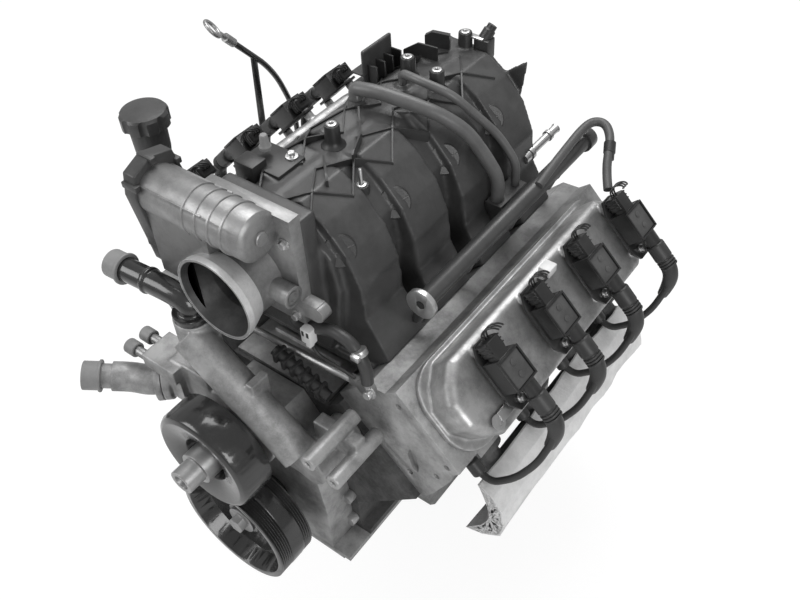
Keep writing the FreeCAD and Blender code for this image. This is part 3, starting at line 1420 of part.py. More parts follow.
def port_caps(inlet, outlet):
    """Flared shipping caps on the two coolant pipes and small ones on the heater nipples."""
    caps = []
    for (spot, aim), radius in ((inlet, 17.5), (outlet, 16)):
        aim = Vector(aim)
        aim.normalize()
        start = spot + aim * (14 if radius > 17 else -14)
        length = 26
        cap = Part.makeCylinder(radius + 3, length, start, aim)
        cap = cap.fuse(Part.makeCylinder(radius + 5.5, 4, start, aim))
        cap = cap.cut(Part.makeCylinder(radius + 0.1, 20.2 if radius > 17 else 14.2, start, aim))
        caps.append(cap)
    for y in HEATER_ROWS:
        cap = Part.makeCylinder(11, 18, Vector(-172, y, 232), Vector(-1, 0, 0))
        caps.append(cap.cut(Part.makeCylinder(7.05, 10, Vector(-172, y, 232), Vector(-1, 0, 0))))
    feature("port_caps", Part.makeCompound(caps))


HEATER_ROWS = (-612, -584)


def oil_filler():
    """Stepped moulded neck that stands on the right cover, and its scalloped twist cap."""
    neck = Piece("oil_filler_tube")
    neck.turned([("14", "-40"), ("19", "-40"), ("21", "88"), ("25", "116"), ("26", "154"), ("21", "154"),
                 ("21", "135"), ("17", "116"), ("14", "92")])
    seat = "((%s + head_rail + cover_height + 0.05) * sqrt(2) - filler_across - filler_up)" % HEAD_FOOT
    neck.pocket("XZ_Plane", [[("-40", seat + " - 40"), ("40", seat + " + 40"), ("40", "-90"), ("-40", "-90")]],
                both=True)
    neck.place(("-filler_across", "-filler_station", "filler_up"))
    cap = Piece("oil_filler_cap")
    cap.turned([("0", "136"), ("20.9", "136"), ("20.9", "154.1"), ("34", "154.1"), ("34", "172"), ("31", "176"),
                ("0", "176")])
    scallop = cap.pocket("XY_Plane", [("39", "0", "8")], "30", lift="178")
    cap.ring([scallop], 8)
    cap.place(("-filler_across", "-filler_station", "filler_up"))


DIP_TUBE = ((-118.05, -48, -52), (-196, -48, -52), (-290, -48, -12), (-372, -48, 60), (-384, -48, 150),
            (-384, -48, 240), (-384, -84, 336))
DIP_TOP = Vector(-384, -159.5, 421)


def dipstick_set():
    """Steel guide tube up past the right bank, with its strap, and the dipstick with its loop handle."""
    points = list(DIP_TUBE) + [tuple(DIP_TOP)]
    flat = [(-127.8, 385.3), (-117.2, 373.4), (-126, 179), (-140, 179)]
    corners = [Vector(-386, station, up) for station, up in flat]
    strap = Part.Face(Part.makePolygon(corners + [corners[0]])).extrude(Vector(4, 0, 0))
    strap = strap.fuse(Part.makeBox(107.5, 14, 4, Vector(-386, -140, 179)))
    feature("dipstick_tube", tube(points, 5, 3.6).fuse(strap.cut(tube(points, 5.1))).fuse(tube(points, 5, 3.6)))
    aim = DIP_TOP - Vector(*DIP_TUBE[-1])
    aim.normalize()
    blade = Part.makeCylinder(2.4, 90, DIP_TOP - aim * 55, aim)
    collar = Part.makeCylinder(7.5, 22, DIP_TOP + aim * 0.3, aim)
    ring_centre = DIP_TOP + aim * 55
    ring = Part.makeTorus(15, 3.2, Vector(), Vector(0, 0, 1))
    ring.Placement = Placement(ring_centre, Rotation(Vector(0, 0, 1), Vector(0.5, 0.6, 0.6)))
    stem = Part.makeCylinder(4, 22, DIP_TOP + aim * 20, aim)
    feature("dipstick", blade.multiFuse([collar, ring, stem]))


THICK_HOSE = (
    (-40, -264.5, 492.05), (-40, -264.5, 507), (-6, -261, 511), (33, -249, 503), (74, -234, 490), (100, -214, 464),
    (120, -200, 426), (137, -190, 388), (137, -190, 352.05),
)
THIN_HOSE = (
    (-12, -199, 490.05), (-12, -199, 505), (22, -206, 508), (64, -198, 499), (90, -174, 462), (114, -153, 426),
    (140, -148, 388), (140, -148, 352.05),
)


def purge_valve():
    """The two-port valve block that leans on the manifold's runners."""
    valve = Piece("purge_valve")
    valve.pad("XZ_Plane", [[
        ("125.2", "352"), ("126.2", "342"), ("138.5", "320"), ("145", "320"), ("151", "336"), ("152", "352"),
    ]], "68", lift="136")


CROSSOVER = ((-128, -487.05, 286), (-128, -511, 284), (-70, -514, 268), (30, -515, 274), (132, -516, 283))
COOLANT_HOSE = (
    (160, -517, 297.05), (160, -517, 325), (139, -514.5, 352), (112, -514, 357), (84, -513.5, 345),
    (60, -513.5, 334), (46, -513.5, 336), (46, -513.5, 351.95),
)


def coolant_lines():
    """Steel crossover pipe with its flange on the left head, heater nipples, and the black hose."""
    flange = Part.makeCylinder(13, 9, Vector(156, -520.05, 284), Vector(0, 1, 0))
    pipe = tube(CROSSOVER, 5).fuse(flange)
    pipe = pipe.fuse(Part.makeBox(24, 9, 12, Vector(132, -520.05, 278)))
    pipe = pipe.fuse(Part.makeCylinder(6, 12, Vector(160, -517, 285), Vector(0, 0, 1)))
    nipples = [Part.makeCylinder(7, 32, Vector(-150.02, y, 232), Vector(-1, 0, 0)) for y in HEATER_ROWS]
    feature("coolant_pipes", Part.makeCompound([pipe] + nipples))


def hoses():
    """The two vent hoses down to the purge valve and the coolant hose to the throttle body."""
    lines = ((THICK_HOSE, 9.5), (THIN_HOSE, 6), (COOLANT_HOSE, 8))
    feature("hoses", Part.makeCompound([tube(points, radius) for points, radius in lines]))


def build():
    engine_block()
    main_bearing_caps()
    crankshaft()
    for index in range(4):
        piston("piston_left_%d" % (index + 1), index, True)
        piston("piston_right_%d" % (index + 1), index, False)
    camshaft()
    sprocket("crank_sprocket", CRANK_TEETH, "snout + running_gap", "24", "0", 270)
    sprocket("cam_sprocket", 2 * CRANK_TEETH, "cam_core + running_gap", "30", "cam_height", 94.5)
    timing_chain()
    front_cover()
    oil_pump()
    crank_pulley()
    crank_bolt()
    rear_cover()
    valley_cover()
    oil_pan()
    oil_filter()
    drain_plug()
    core_plugs()
    head_gaskets()
    cylinder_head("left_head", True)
    cylinder_head("right_head", False)
    valve_cover("left_valve_cover", True)
    valve_cover("right_valve_cover", False)
    coils("left_coils", True)
    coils("right_coils", False)
    coil_screws()
    plug_leads()
    spark_plugs()
    exhaust_manifold("left_exhaust_manifold", True)
    exhaust_manifold("right_exhaust_manifold", False)
    heat_shields()
    intake_manifold()
    intake_bolts()
    throttle_body()
    throttle_plate()
    throttle_gear_cover()
    fuel_rails()
    injectors()
    water_pump_housing()
    pump_back_plate()
    pump_shaft()
    pump_pulley()
    fan_hub()
    port_caps(thermostat_neck(), outlet_elbow())
    oil_filler()
    dipstick_set()
    hoses()
    purge_valve()
    coolant_lines()


build()
doc.recompute()
failed = ["%s: %s" % (thing.Label, thing.getStatusString()) for thing in doc.Objects
          if "Invalid" in thing.State or "Error" in thing.State]
if failed:
    raise ValueError("did not rebuild: " + "; ".join(failed))
broken = [part.Label for part in parts if part.Shape.isNull() or not part.Shape.isValid()]
if broken:
    raise ValueError("no valid shape: " + ", ".join(broken))
for part in parts:
    part.Shape.exportStep("parts/%s.step" % part.Label)
    print(part.Label, len(part.Shape.Solids), round(part.Shape.Volume / 1000), part.Shape.BoundBox)
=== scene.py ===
"""The looks of a V8 truck engine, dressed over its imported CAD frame, in the order in which such an engine is built.
Sizes are millimetres unless a value says otherwise: +Y runs rearwards along the crankshaft, +X to the left bank."""
import math

import bpy
from mathutils import Matrix, Vector


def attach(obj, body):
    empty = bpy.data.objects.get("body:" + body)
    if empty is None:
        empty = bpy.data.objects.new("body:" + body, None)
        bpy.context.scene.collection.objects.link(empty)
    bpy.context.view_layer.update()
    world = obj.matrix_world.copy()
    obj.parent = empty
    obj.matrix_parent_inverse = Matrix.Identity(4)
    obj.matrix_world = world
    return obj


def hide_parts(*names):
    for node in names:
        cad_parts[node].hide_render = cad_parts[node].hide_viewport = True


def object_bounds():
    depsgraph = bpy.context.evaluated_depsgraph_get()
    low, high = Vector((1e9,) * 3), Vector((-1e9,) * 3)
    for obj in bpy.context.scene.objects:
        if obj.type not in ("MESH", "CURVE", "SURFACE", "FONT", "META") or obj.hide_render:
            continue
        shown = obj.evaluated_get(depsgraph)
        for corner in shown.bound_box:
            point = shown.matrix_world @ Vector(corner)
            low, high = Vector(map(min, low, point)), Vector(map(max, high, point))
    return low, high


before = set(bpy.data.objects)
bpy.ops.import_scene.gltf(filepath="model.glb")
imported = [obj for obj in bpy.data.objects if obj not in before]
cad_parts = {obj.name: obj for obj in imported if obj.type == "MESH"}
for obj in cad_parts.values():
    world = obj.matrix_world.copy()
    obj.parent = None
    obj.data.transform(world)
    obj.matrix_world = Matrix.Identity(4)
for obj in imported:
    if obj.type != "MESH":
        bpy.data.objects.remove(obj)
cad_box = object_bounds()

# The block: a one-piece iron casting with sand-rough sides and milled faces. Its CAD solid has the right shape, so
# a copy of it gets rounded foundry edges. The same few steps dress the other castings: the copy is welded, rounded
# and coated.
MM = 0.001


def surface_group():
    """Soil in blotches, fine grain and a little relief, all read from the piece's own object space."""
    group = bpy.data.node_groups.new("Handled surface", "ShaderNodeTree")
    sockets = group.interface
    for label, kind, value in (("Clean", "NodeSocketColor", (0.5, 0.5, 0.5, 1)),
                               ("Soiled", "NodeSocketColor", (0.1, 0.1, 0.1, 1)),
                               ("Soil", "NodeSocketFloat", 0.3), ("Gloss", "NodeSocketFloat", 0.5),
                               ("Grain", "NodeSocketFloat", 900.0), ("Relief", "NodeSocketFloat", 0.2)):
        sockets.new_socket(label, in_out="INPUT", socket_type=kind).default_value = value
    sockets.new_socket("Colour", in_out="OUTPUT", socket_type="NodeSocketColor")
    sockets.new_socket("Roughness", in_out="OUTPUT", socket_type="NodeSocketFloat")
    sockets.new_socket("Normal", in_out="OUTPUT", socket_type="NodeSocketVector")
    nodes, link = group.nodes, group.links.new
    given, result = nodes.new("NodeGroupInput"), nodes.new("NodeGroupOutput")
    place = nodes.new("ShaderNodeTexCoord")
    blotches = nodes.new("ShaderNodeTexNoise")
    blotches.inputs["Scale"].default_value = 24
    blotches.inputs["Detail"].default_value = 7
    blotches.inputs["Roughness"].default_value = 0.68
    grain = nodes.new("ShaderNodeTexNoise")
    grain.inputs["Detail"].default_value = 3
    spread = nodes.new("ShaderNodeMapRange")
    spread.inputs["From Min"].default_value = 0.40
    spread.inputs["From Max"].default_value = 0.70
    speckle = nodes.new("ShaderNodeMath")
    speckle.operation = "MULTIPLY_ADD"
    speckle.inputs[1].default_value = 0.35
    speckle.use_clamp = True
    amount = nodes.new("ShaderNodeMath")
    amount.operation = "MULTIPLY"
    colour = nodes.new("ShaderNodeMix")
    colour.data_type = "RGBA"
    gloss = nodes.new("ShaderNodeMath")
    gloss.operation = "MULTIPLY_ADD"
    gloss.inputs[1].default_value = 0.22
    relief = nodes.new("ShaderNodeBump")
    relief.inputs["Distance"].default_value = 0.0006
    link(place.outputs["Object"], blotches.inputs["Vector"])
    link(place.outputs["Object"], grain.inputs["Vector"])
    link(given.outputs["Grain"], grain.inputs["Scale"])
    link(blotches.outputs["Fac"], spread.inputs["Value"])
    link(grain.outputs["Fac"], speckle.inputs[0])
    link(spread.outputs["Result"], speckle.inputs[2])
    link(speckle.outputs["Value"], amount.inputs[0])
    link(given.outputs["Soil"], amount.inputs[1])
    link(amount.outputs["Value"], colour.inputs["Factor"])
    link(given.outputs["Clean"], colour.inputs["A"])
    link(given.outputs["Soiled"], colour.inputs["B"])
    link(amount.outputs["Value"], gloss.inputs[0])
    link(given.outputs["Gloss"], gloss.inputs[2])
    link(grain.outputs["Fac"], relief.inputs["Height"])
    link(given.outputs["Relief"], relief.inputs["Strength"])
    link(colour.outputs["Result"], result.inputs["Colour"])
    link(gloss.outputs["Value"], result.inputs["Roughness"])
    link(relief.outputs["Normal"], result.inputs["Normal"])
    return group


HANDLED = surface_group()


def finish_of(label, clean, soiled, soil, roughness, metal=0.0, grain=900, relief=0.2, coat=0.0):
    """A material of one base grey, darkened or greyed where it is soiled."""
    made = bpy.data.materials.new(label)
    made.use_nodes = True
    nodes, link = made.node_tree.nodes, made.node_tree.links.new
    shader = nodes["Principled BSDF"]
    shader.inputs["Metallic"].default_value = metal
    shader.inputs["Coat Weight"].default_value = coat
    shader.inputs["Coat Roughness"].default_value = 0.08
    handled = nodes.new("ShaderNodeGroup")
    handled.node_tree = HANDLED
    handled.inputs["Clean"].default_value = (clean, clean, clean, 1)
    handled.inputs["Soiled"].default_value = (soiled, soiled, soiled, 1)
    handled.inputs["Soil"].default_value = soil
    handled.inputs["Gloss"].default_value = roughness
    handled.inputs["Grain"].default_value = grain
    handled.inputs["Relief"].default_value = relief
    link(handled.outputs["Colour"], shader.inputs["Base Color"])
    link(handled.outputs["Roughness"], shader.inputs["Roughness"])
    link(handled.outputs["Normal"], shader.inputs["Normal"])
    return made


def alone(piece):
    """Selects one piece, and nothing else, as the active one."""
    bpy.ops.object.select_all(action="DESELECT")
    piece.select_set(True)
    bpy.context.view_layer.objects.active = piece


def modified(piece, kind, **settings):
    """Adds one modifier and applies it."""
    alone(piece)
    step = piece.modifiers.new(kind.title(), kind)
    for setting, value in settings.items():
        setattr(step, setting, value)
    bpy.ops.object.modifier_apply(modifier=step.name)
    return piece


def smoothed(piece, angle=38):
    """Shades the piece smooth wherever its faces meet at less than the angle."""
    alone(piece)
    bpy.ops.object.shade_smooth_by_angle(angle=math.radians(angle))
    return piece


def rounded(piece, width, segments=2, angle=34):
    """Bevels the sharp edges by width and shades the rest smooth."""
    modified(piece, "BEVEL", width=width * MM, segments=segments, limit_method="ANGLE",
             angle_limit=math.radians(angle), use_clamp_overlap=True, harden_normals=False)
    return smoothed(piece)


def foundry(piece, voxel, passes=2):
    """Melts the edges of a casting into fillets, as a sand or die casting has them."""
    modified(piece, "REMESH", mode="VOXEL", voxel_size=voxel * MM)
    modified(piece, "SMOOTH", factor=0.5, iterations=passes)
    return smoothed(piece, 60)


def cad_copy(node, name, *coats):
    """A welded copy of a CAD node's mesh, free to be worked on."""
    piece = bpy.data.objects.new(name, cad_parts[node].data.copy())
    bpy.context.scene.collection.objects.link(piece)
    piece.data.materials.clear()
    for coat in coats:
        piece.data.materials.append(coat)
    alone(piece)
    bpy.ops.object.mode_set(mode="EDIT")
    bpy.ops.mesh.select_all(action="SELECT")
    bpy.ops.mesh.remove_doubles(threshold=0.01 * MM)
    bpy.ops.mesh.dissolve_limited(angle_limit=math.radians(1.5))
    bpy.ops.object.mode_set(mode="OBJECT")
    return piece


def fitted(piece, slot, body, *nodes):
    """The piece rides its body and stands for these CAD nodes."""
    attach(piece, body)
    if nodes:
        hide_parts(*nodes)
    return piece


CAST_IRON = finish_of("Cast iron", 0.115, 0.035, 0.8, 0.55, metal=0.55, grain=420, relief=0.7)
fitted(rounded(cad_copy("engine_block", "block_casting", CAST_IRON), 1.6), "iron", "engine", "engine_block")
fitted(rounded(cad_copy("main_bearing_caps", "bearing_caps", CAST_IRON), 0.8), "iron", "engine",
       "main_bearing_caps")

# Inside the block: forged crankshaft, cast pistons, camshaft and roller timing drive, bright and oily. Little of
# them shows, so they keep their CAD shapes with an edge break and an oiled coat. The pistons are shrunk a little, so
# that their facets don't meet those of the bores.
MACHINED = finish_of("Oiled machined steel", 0.46, 0.20, 0.5, 0.26, metal=0.95, grain=1500, relief=0.1)
PISTON_ALLOY = finish_of("Piston alloy", 0.55, 0.12, 0.6, 0.34, metal=0.9, grain=1200, relief=0.15)
for node, body in (("crankshaft", "crank"), ("crank_sprocket", "crank"), ("camshaft", "cam"),
                   ("cam_sprocket", "cam"), ("timing_chain", "engine"), ("oil_pump", "engine")):
    fitted(rounded(cad_copy(node, f"{node}_steel", MACHINED), 0.3, 1), "machined", body, node)
PISTON_SHRINK = 0.3
for row in ("left", "right"):
    for number in range(1, 5):
        node = f"piston_{row}_{number}"
        crown = cad_copy(node, f"{node}_crown", PISTON_ALLOY)
        modified(crown, "DISPLACE", strength=-PISTON_SHRINK * MM, mid_level=0.0)
        fitted(rounded(crown, 0.4, 1), "bright_alloy", node, node)

# Covers, pump castings and heads: die- and sand-cast aluminium, grey with road grime in blotches.
CAST_ALLOY = finish_of("Cast aluminium", 0.46, 0.15, 0.75, 0.40, metal=0.6, grain=700, relief=0.5)
for node, width in (("front_cover", 1.2), ("rear_cover", 1.0), ("valley_cover", 1.0), ("pump_back_plate", 0.6),
                    ("thermostat_neck", 0.9), ("left_head", 1.2), ("right_head", 1.2), ("oil_pan", 1.5)):
    fitted(rounded(cad_copy(node, f"{node}_casting", CAST_ALLOY), width), "cast_alloy", "engine", node)
fitted(foundry(cad_copy("water_pump_housing", "pump_casting", CAST_ALLOY), 1.8), "cast_alloy", "engine",
       "water_pump_housing")
FIBRE = finish_of("Gasket sheet", 0.22, 0.08, 0.5, 0.7, metal=0.2)
fitted(rounded(cad_copy("head_gaskets", "gasket_sheets", FIBRE), 0.1, 1), "fibre", "engine", "head_gaskets")
PRESSED_STEEL = finish_of("Pressed steel", 0.42, 0.16, 0.5, 0.36, metal=0.9, grain=900, relief=0.1)
fitted(rounded(cad_copy("core_plugs", "core_plug_cups", PRESSED_STEEL), 0.4), "steel", "engine", "core_plugs")
FILTER_PAINT = finish_of("Filter paint", 0.05, 0.03, 0.4, 0.3, coat=0.3, grain=700, relief=0.1)
fitted(rounded(cad_copy("oil_filter", "filter_can", FILTER_PAINT), 0.8), "black_paint", "engine", "oil_filter")
fitted(rounded(cad_copy("drain_plug", "drain_screw", PRESSED_STEEL), 0.5), "zinc", "engine", "drain_plug")

# Valve covers: smooth cast aluminium lids with a milled flange rail along the edge. The whole lid is melted into
# fillets, because its soft edges catch the light in broad streaks.
COVER_ALLOY = finish_of("Pale cast aluminium", 0.56, 0.17, 0.7, 0.36, metal=0.8, grain=800, relief=0.3)
for side in ("left", "right"):
    node = f"{side}_valve_cover"
    fitted(foundry(cad_copy(node, f"{side}_cover_lid", COVER_ALLOY), 1.9, 2), "bright_alloy", "engine", node)

# Ignition coils, one over each cylinder: a square block on a base plate with two ears, a grey potted face let into
# its top, and on the inner side a ribbed connector that three short wires loop out of. An earth strap lies by the
# front coil of the left bank.
COIL_BLACK = finish_of("Coil moulding", 0.012, 0.035, 0.45, 0.30, grain=1500, relief=0.2)
COIL_FACE = finish_of("Potted face", 0.085, 0.025, 0.6, 0.40, grain=1500, relief=0.25)
TURNED = math.sqrt(0.5)
COVER_LEVEL = 412
COIL_PITCH = 109
COILS_PER_BANK = 4
FACE_LEVEL, RIM_LEVEL = 32.2, 35.2
WIRE_ROUTE = ((0, 0, 0), (9, 0, 0), (14, 7, 6), (9, 13, 15), (0, 8, 24), (0, 2, 27))


def bank_axes(left, height, side, y):
    """A bank's own axes as a matrix: x runs out along the side, z up out of the bank, from the point given."""
    sign = 1 if left else -1
    out = Vector((TURNED * sign, 0, -TURNED))
    up = Vector((TURNED * sign, 0, TURNED))
    along = Vector((0, 1, 0))
    place = Matrix((out, along, up)).transposed().to_4x4()
    place.translation = (up * height + out * side + along * y) * MM
    return place


def turned(name, coat, profile, place=None, sides=40):
    """A round piece, drawn up from a disc ring by ring along its profile of (radius, height)."""
    bpy.ops.object.select_all(action="DESELECT")
    (radius, height), rest = profile[0], profile[1:]
    bpy.ops.mesh.primitive_circle_add(vertices=sides, radius=radius * MM, fill_type="NGON",
                                      location=(0, 0, height * MM))
    piece = bpy.context.active_object
    piece.name = name
    bpy.ops.object.transform_apply(location=True)
    bpy.ops.object.mode_set(mode="EDIT")
    for wider, higher in rest:
        bpy.ops.mesh.extrude_region_move(TRANSFORM_OT_translate={"value": (0, 0, (higher - height) * MM)})
        bpy.ops.transform.resize(value=(wider / radius, wider / radius, 1))
        radius, height = wider, higher
    bpy.ops.mesh.select_all(action="SELECT")
    bpy.ops.mesh.normals_make_consistent(inside=False)
    bpy.ops.object.mode_set(mode="OBJECT")
    piece.data.materials.append(coat)
    if place is not None:
        piece.data.transform(place)
    return piece


def slab(name, coat, low, high, place=None, edge=1.0, segments=2):
    """A moulded block between two corners, with rounded edges."""
    bpy.ops.object.select_all(action="DESELECT")
    middle = [(a + b) / 2 * MM for a, b in zip(low, high)]
    bpy.ops.mesh.primitive_cube_add(size=1, location=middle, scale=[(b - a) * MM for a, b in zip(low, high)])
    piece = bpy.context.active_object
    piece.name = name
    bpy.ops.object.transform_apply(location=True, scale=True)
    piece.data.materials.append(coat)
    if edge:
        rounded(piece, edge, segments)
    if place is not None:
        piece.data.transform(place)
    return piece


def joined(name, pieces):
    """Several pieces as one object."""
    bpy.ops.object.select_all(action="DESELECT")
    for piece in pieces:
        piece.select_set(True)
    bpy.context.view_layer.objects.active = pieces[0]
    bpy.ops.object.join()
    pieces[0].name = name
    return smoothed(pieces[0])


def facing(point, aim):
    """A place whose z axis looks along aim."""
    return Matrix.Translation(Vector(point) * MM) @ Vector(aim).to_track_quat("Z", "Y").to_matrix().to_4x4()


def hose(name, coat, points, radius, rounds=8, taper=None):
    """A round tube along a smooth curve through given points, with closed ends."""
    curve = bpy.data.curves.new(name, "CURVE")
    curve.dimensions = "3D"
    curve.bevel_depth = radius * MM
    curve.bevel_resolution = 5
    curve.resolution_u = rounds
    curve.use_fill_caps = True
    spline = curve.splines.new("NURBS")
    spline.points.add(len(points) - 1)
    for number, (spot, point) in enumerate(zip(points, spline.points)):
        point.co = (*[value * MM for value in spot], 1)
        point.radius = taper[number] if taper else 1.0
    spline.use_endpoint_u = True
    spline.order_u = 3
    piece = bpy.data.objects.new(name, curve)
    bpy.context.scene.collection.objects.link(piece)
    alone(piece)
    bpy.ops.object.convert(target="MESH")
    piece = bpy.context.active_object
    piece.data.materials.clear()
    piece.data.materials.append(coat)
    return smoothed(piece, 50)


def coil_details(left, y):
    """What the CAD coil lacks: the rim, the potted face with two bosses, and the connector with its three wires."""
    place = bank_axes(left, COVER_LEVEL, 0, y)
    flip = 1 if left else -1
    parts = [slab("face", COIL_FACE, (-29, -17, FACE_LEVEL), (9, 17, 33.7), place, 0.7)]
    for name, low, high in (("rim_low", (-32, -21), (-29.5, 21)), ("rim_high", (9.5, -21), (12, 21)),
                            ("rim_front", (-31, -21), (11, -18)), ("rim_back", (-31, 18), (11, 21))):
        parts.append(slab(name, COIL_BLACK, (*low, FACE_LEVEL), (*high, RIM_LEVEL), place, 0.6))
    for across in (-20, -2):
        parts.append(turned("boss", COIL_FACE, ((4.2, 33), (4.2, 34.6), (3.0, RIM_LEVEL)),
                            place @ Matrix.Translation((across * MM, 0, 0)), 20))
    parts.append(slab("boot", COIL_BLACK, (-58, -13.2, 7.6), (-37, 13.2, 27.2), place, 3.0, 3))
    for step in range(3):
        reach = -56 + step * 5.5
        parts.append(slab("rib", COIL_BLACK, (reach, -13.9, 7), (reach + 1.7, 13.9, 27.9), place, 0.5, 1))
    parts.append(slab("latch", COIL_BLACK, (-46, -4.5, 26), (-33, 4.5, 30), place, 0.9))
    root = place @ Vector((-56 * MM, 0, 18 * MM)) / MM
    out = place.to_3x3() @ Vector((-1, 0, 0))
    up = place.to_3x3() @ Vector((0, 0, 1))
    for wire in (-1, 0, 1):
        base = root + Vector((0, wire * 5, 0))
        line = [base + out * reach + up * rise + Vector((0, flip * along, 0)) for reach, rise, along in WIRE_ROUTE]
        parts.append(hose("wire", COIL_BLACK, line, 1.25, 4))
    return parts


COIL_FIRST = {"left": -415, "right": -360}
for side in ("left", "right"):
    pieces = [rounded(cad_copy(f"{side}_coils", f"{side}_coil_bodies", COIL_BLACK), 1.3)]
    for number in range(COILS_PER_BANK):
        pieces += coil_details(side == "left", COIL_FIRST[side] + COIL_PITCH * number)
    fitted(joined(f"{side}_coil_set", pieces), "coil_black", "engine", f"{side}_coils")
PLATED = finish_of("Plated screw", 0.62, 0.2, 0.35, 0.3, metal=0.95, grain=1500, relief=0.08)
fitted(rounded(cad_copy("coil_screws", "coil_screw_heads", PLATED), 0.35), "zinc", "engine", "coil_screws")
left_bank = bank_axes(True, 0, 0, 0)
earth = [slab("earth_tab", PLATED, (24, -450, 404.5), (38, -408, 406.1), left_bank, 0.5, 1),
         turned("earth_ring", PLATED, ((10, 0), (10, 1.8), (5.2, 1.8), (5.2, 0.4)),
                left_bank @ Matrix.Translation(Vector((33, -455, 404)) * MM), 32)]
fitted(joined("earth_strap", earth), "zinc", "engine")

# Plug leads and spark plugs: each silicone lead hangs in a loop from its coil to the plug below. A thick boot with
# three rings covers its start, bends down with it and tapers off.
LEAD_RUBBER = finish_of("Lead silicone", 0.022, 0.06, 0.5, 0.38, grain=900, relief=0.25)
leads = foundry(cad_copy("plug_leads", "lead_boots", LEAD_RUBBER), 1.3, 2)
LEAD_SWELL = 1.1
modified(leads, "DISPLACE", strength=LEAD_SWELL * MM, mid_level=0.0)
fitted(smoothed(leads, 60), "rubber", "engine", "plug_leads")
SOCKET_SHIFT = {"left": 8, "right": -8}
BOOT_ROUTE = ((50, 22), (70, 22), (88, 15), (104, -4), (112, -18))
BOOT_TAPER = (1.0, 1.0, 0.96, 0.8, 0.66)
BOOT_RING = ((12.4, 0), (12.9, 0.7), (12.9, 2.1), (12.4, 2.8))
RING_SPACING = 0.22
boots = []
for side in ("left", "right"):
    for number in range(COILS_PER_BANK):
        station = COIL_FIRST[side] + COIL_PITCH * number + SOCKET_SHIFT[side]
        axes = bank_axes(side == "left", COVER_LEVEL, 0, station)
        line = [axes @ (Vector((out, 0, up)) * MM) / MM for out, up in BOOT_ROUTE]
        boots.append(hose("coil_boot", LEAD_RUBBER, line, 11.5, 8, BOOT_TAPER))
        for ring in range(3):
            seat = facing(line[1] + (line[0] - line[1]) * ring * RING_SPACING, line[1] - line[0])
            boots.append(turned("boot_ring", LEAD_RUBBER, BOOT_RING, seat, 28))
fitted(joined("lead_coil_boots", boots), "rubber", "engine")
PLUG_BODY = finish_of("Plug shell", 0.5, 0.2, 0.4, 0.32, metal=0.8)
fitted(rounded(cad_copy("spark_plugs", "plug_shells", PLUG_BODY), 0.4), "steel", "engine", "spark_plugs")

# Exhaust manifolds and their shields: a rusty iron log under a sheet of crinkled, embossed aluminised steel. The
# sheet is split fine enough to be dented by a broad noise along X.
EXHAUST_IRON = finish_of("Scaled exhaust iron", 0.16, 0.05, 0.8, 0.62, metal=0.5, grain=420, relief=0.8)
for side in ("left", "right"):
    node = f"{side}_exhaust_manifold"
    fitted(rounded(cad_copy(node, f"{side}_exhaust_log", EXHAUST_IRON), 1.4), "exhaust", "engine", node)
SHIELD_SHEET = finish_of("Embossed sheet", 0.88, 0.52, 0.5, 0.38, metal=0.45, grain=260, relief=1.0)
sheets = cad_copy("heat_shields", "shield_sheets", SHIELD_SHEET)
modified(sheets, "SUBSURF", subdivision_type="SIMPLE", levels=4)
crinkle = bpy.data.textures.new("Crinkled sheet", "CLOUDS")
crinkle.noise_scale = 0.07
crinkle.noise_depth = 1
CRINKLE_DEPTH = 12
modified(sheets, "DISPLACE", texture=crinkle, texture_coords="LOCAL", direction="X", strength=CRINKLE_DEPTH * MM,
         mid_level=0.5)
fitted(smoothed(sheets, 30), "shield", "engine", "heat_shields")

# Intake manifold: a welded shell of dark grey glass-filled nylon. Thin ribs cross over its crown, screw bosses with
# pressed bright inserts stand on it, and round weld caps with crossed ribs close the runner cores.
NYLON = finish_of("Glass-filled nylon", 0.040, 0.095, 0.45, 0.27, grain=1300, relief=0.35)
NYLON_DARK = finish_of("Dark nylon", 0.018, 0.045, 0.4, 0.32, grain=1300, relief=0.25)
INSERT = finish_of("Pressed insert", 0.68, 0.25, 0.3, 0.28, metal=0.9, grain=1500, relief=0.05)
CAP_GREY = finish_of("Grey cap", 0.24, 0.1, 0.4, 0.42, grain=900, relief=0.15)
CROWN = ((0, 486), (34, 482), (64, 458), (88, 430), (96, 380))
ARCH = ((0, 484), (38, 488), (72, 466), (102, 432), (120, 388))
RUNNER_PITCH = 108
RIB_ROOT = 3
RIB_INNER, RIB_OUTER, RIB_PITCH, RIB_LENGTH, FIRST_RIB = 10, 68, 78, 80, -486


def level_on(profile, across):
    """Height of a roof profile at a distance across."""
    across = abs(across)
    for (near, high), (far, low) in zip(profile, profile[1:]):
        if across <= far:
            return high + (low - high) * (across - near) / (far - near)
    return profile[-1][1]


def crown_rib(start, end, proud=2.6, thick=2.2, steps=14):
    """A thin rib over the crown, from below the shell to a little above the arches."""
    bpy.ops.object.select_all(action="DESELECT")
    bpy.ops.mesh.primitive_grid_add(x_subdivisions=steps, y_subdivisions=1, size=2)
    piece = bpy.context.active_object
    for vertex in piece.data.vertices:
        share = (vertex.co.x + 1) / 2
        across = start[0] + (end[0] - start[0]) * share
        top = level_on(ARCH, across) + proud
        height = top if vertex.co.y > 0 else level_on(CROWN, across) - RIB_ROOT
        vertex.co = Vector((across, start[1] + (end[1] - start[1]) * share, height)) * MM
    piece.data.materials.append(NYLON_DARK)
    modified(piece, "SOLIDIFY", thickness=thick * MM, offset=0)
    return piece


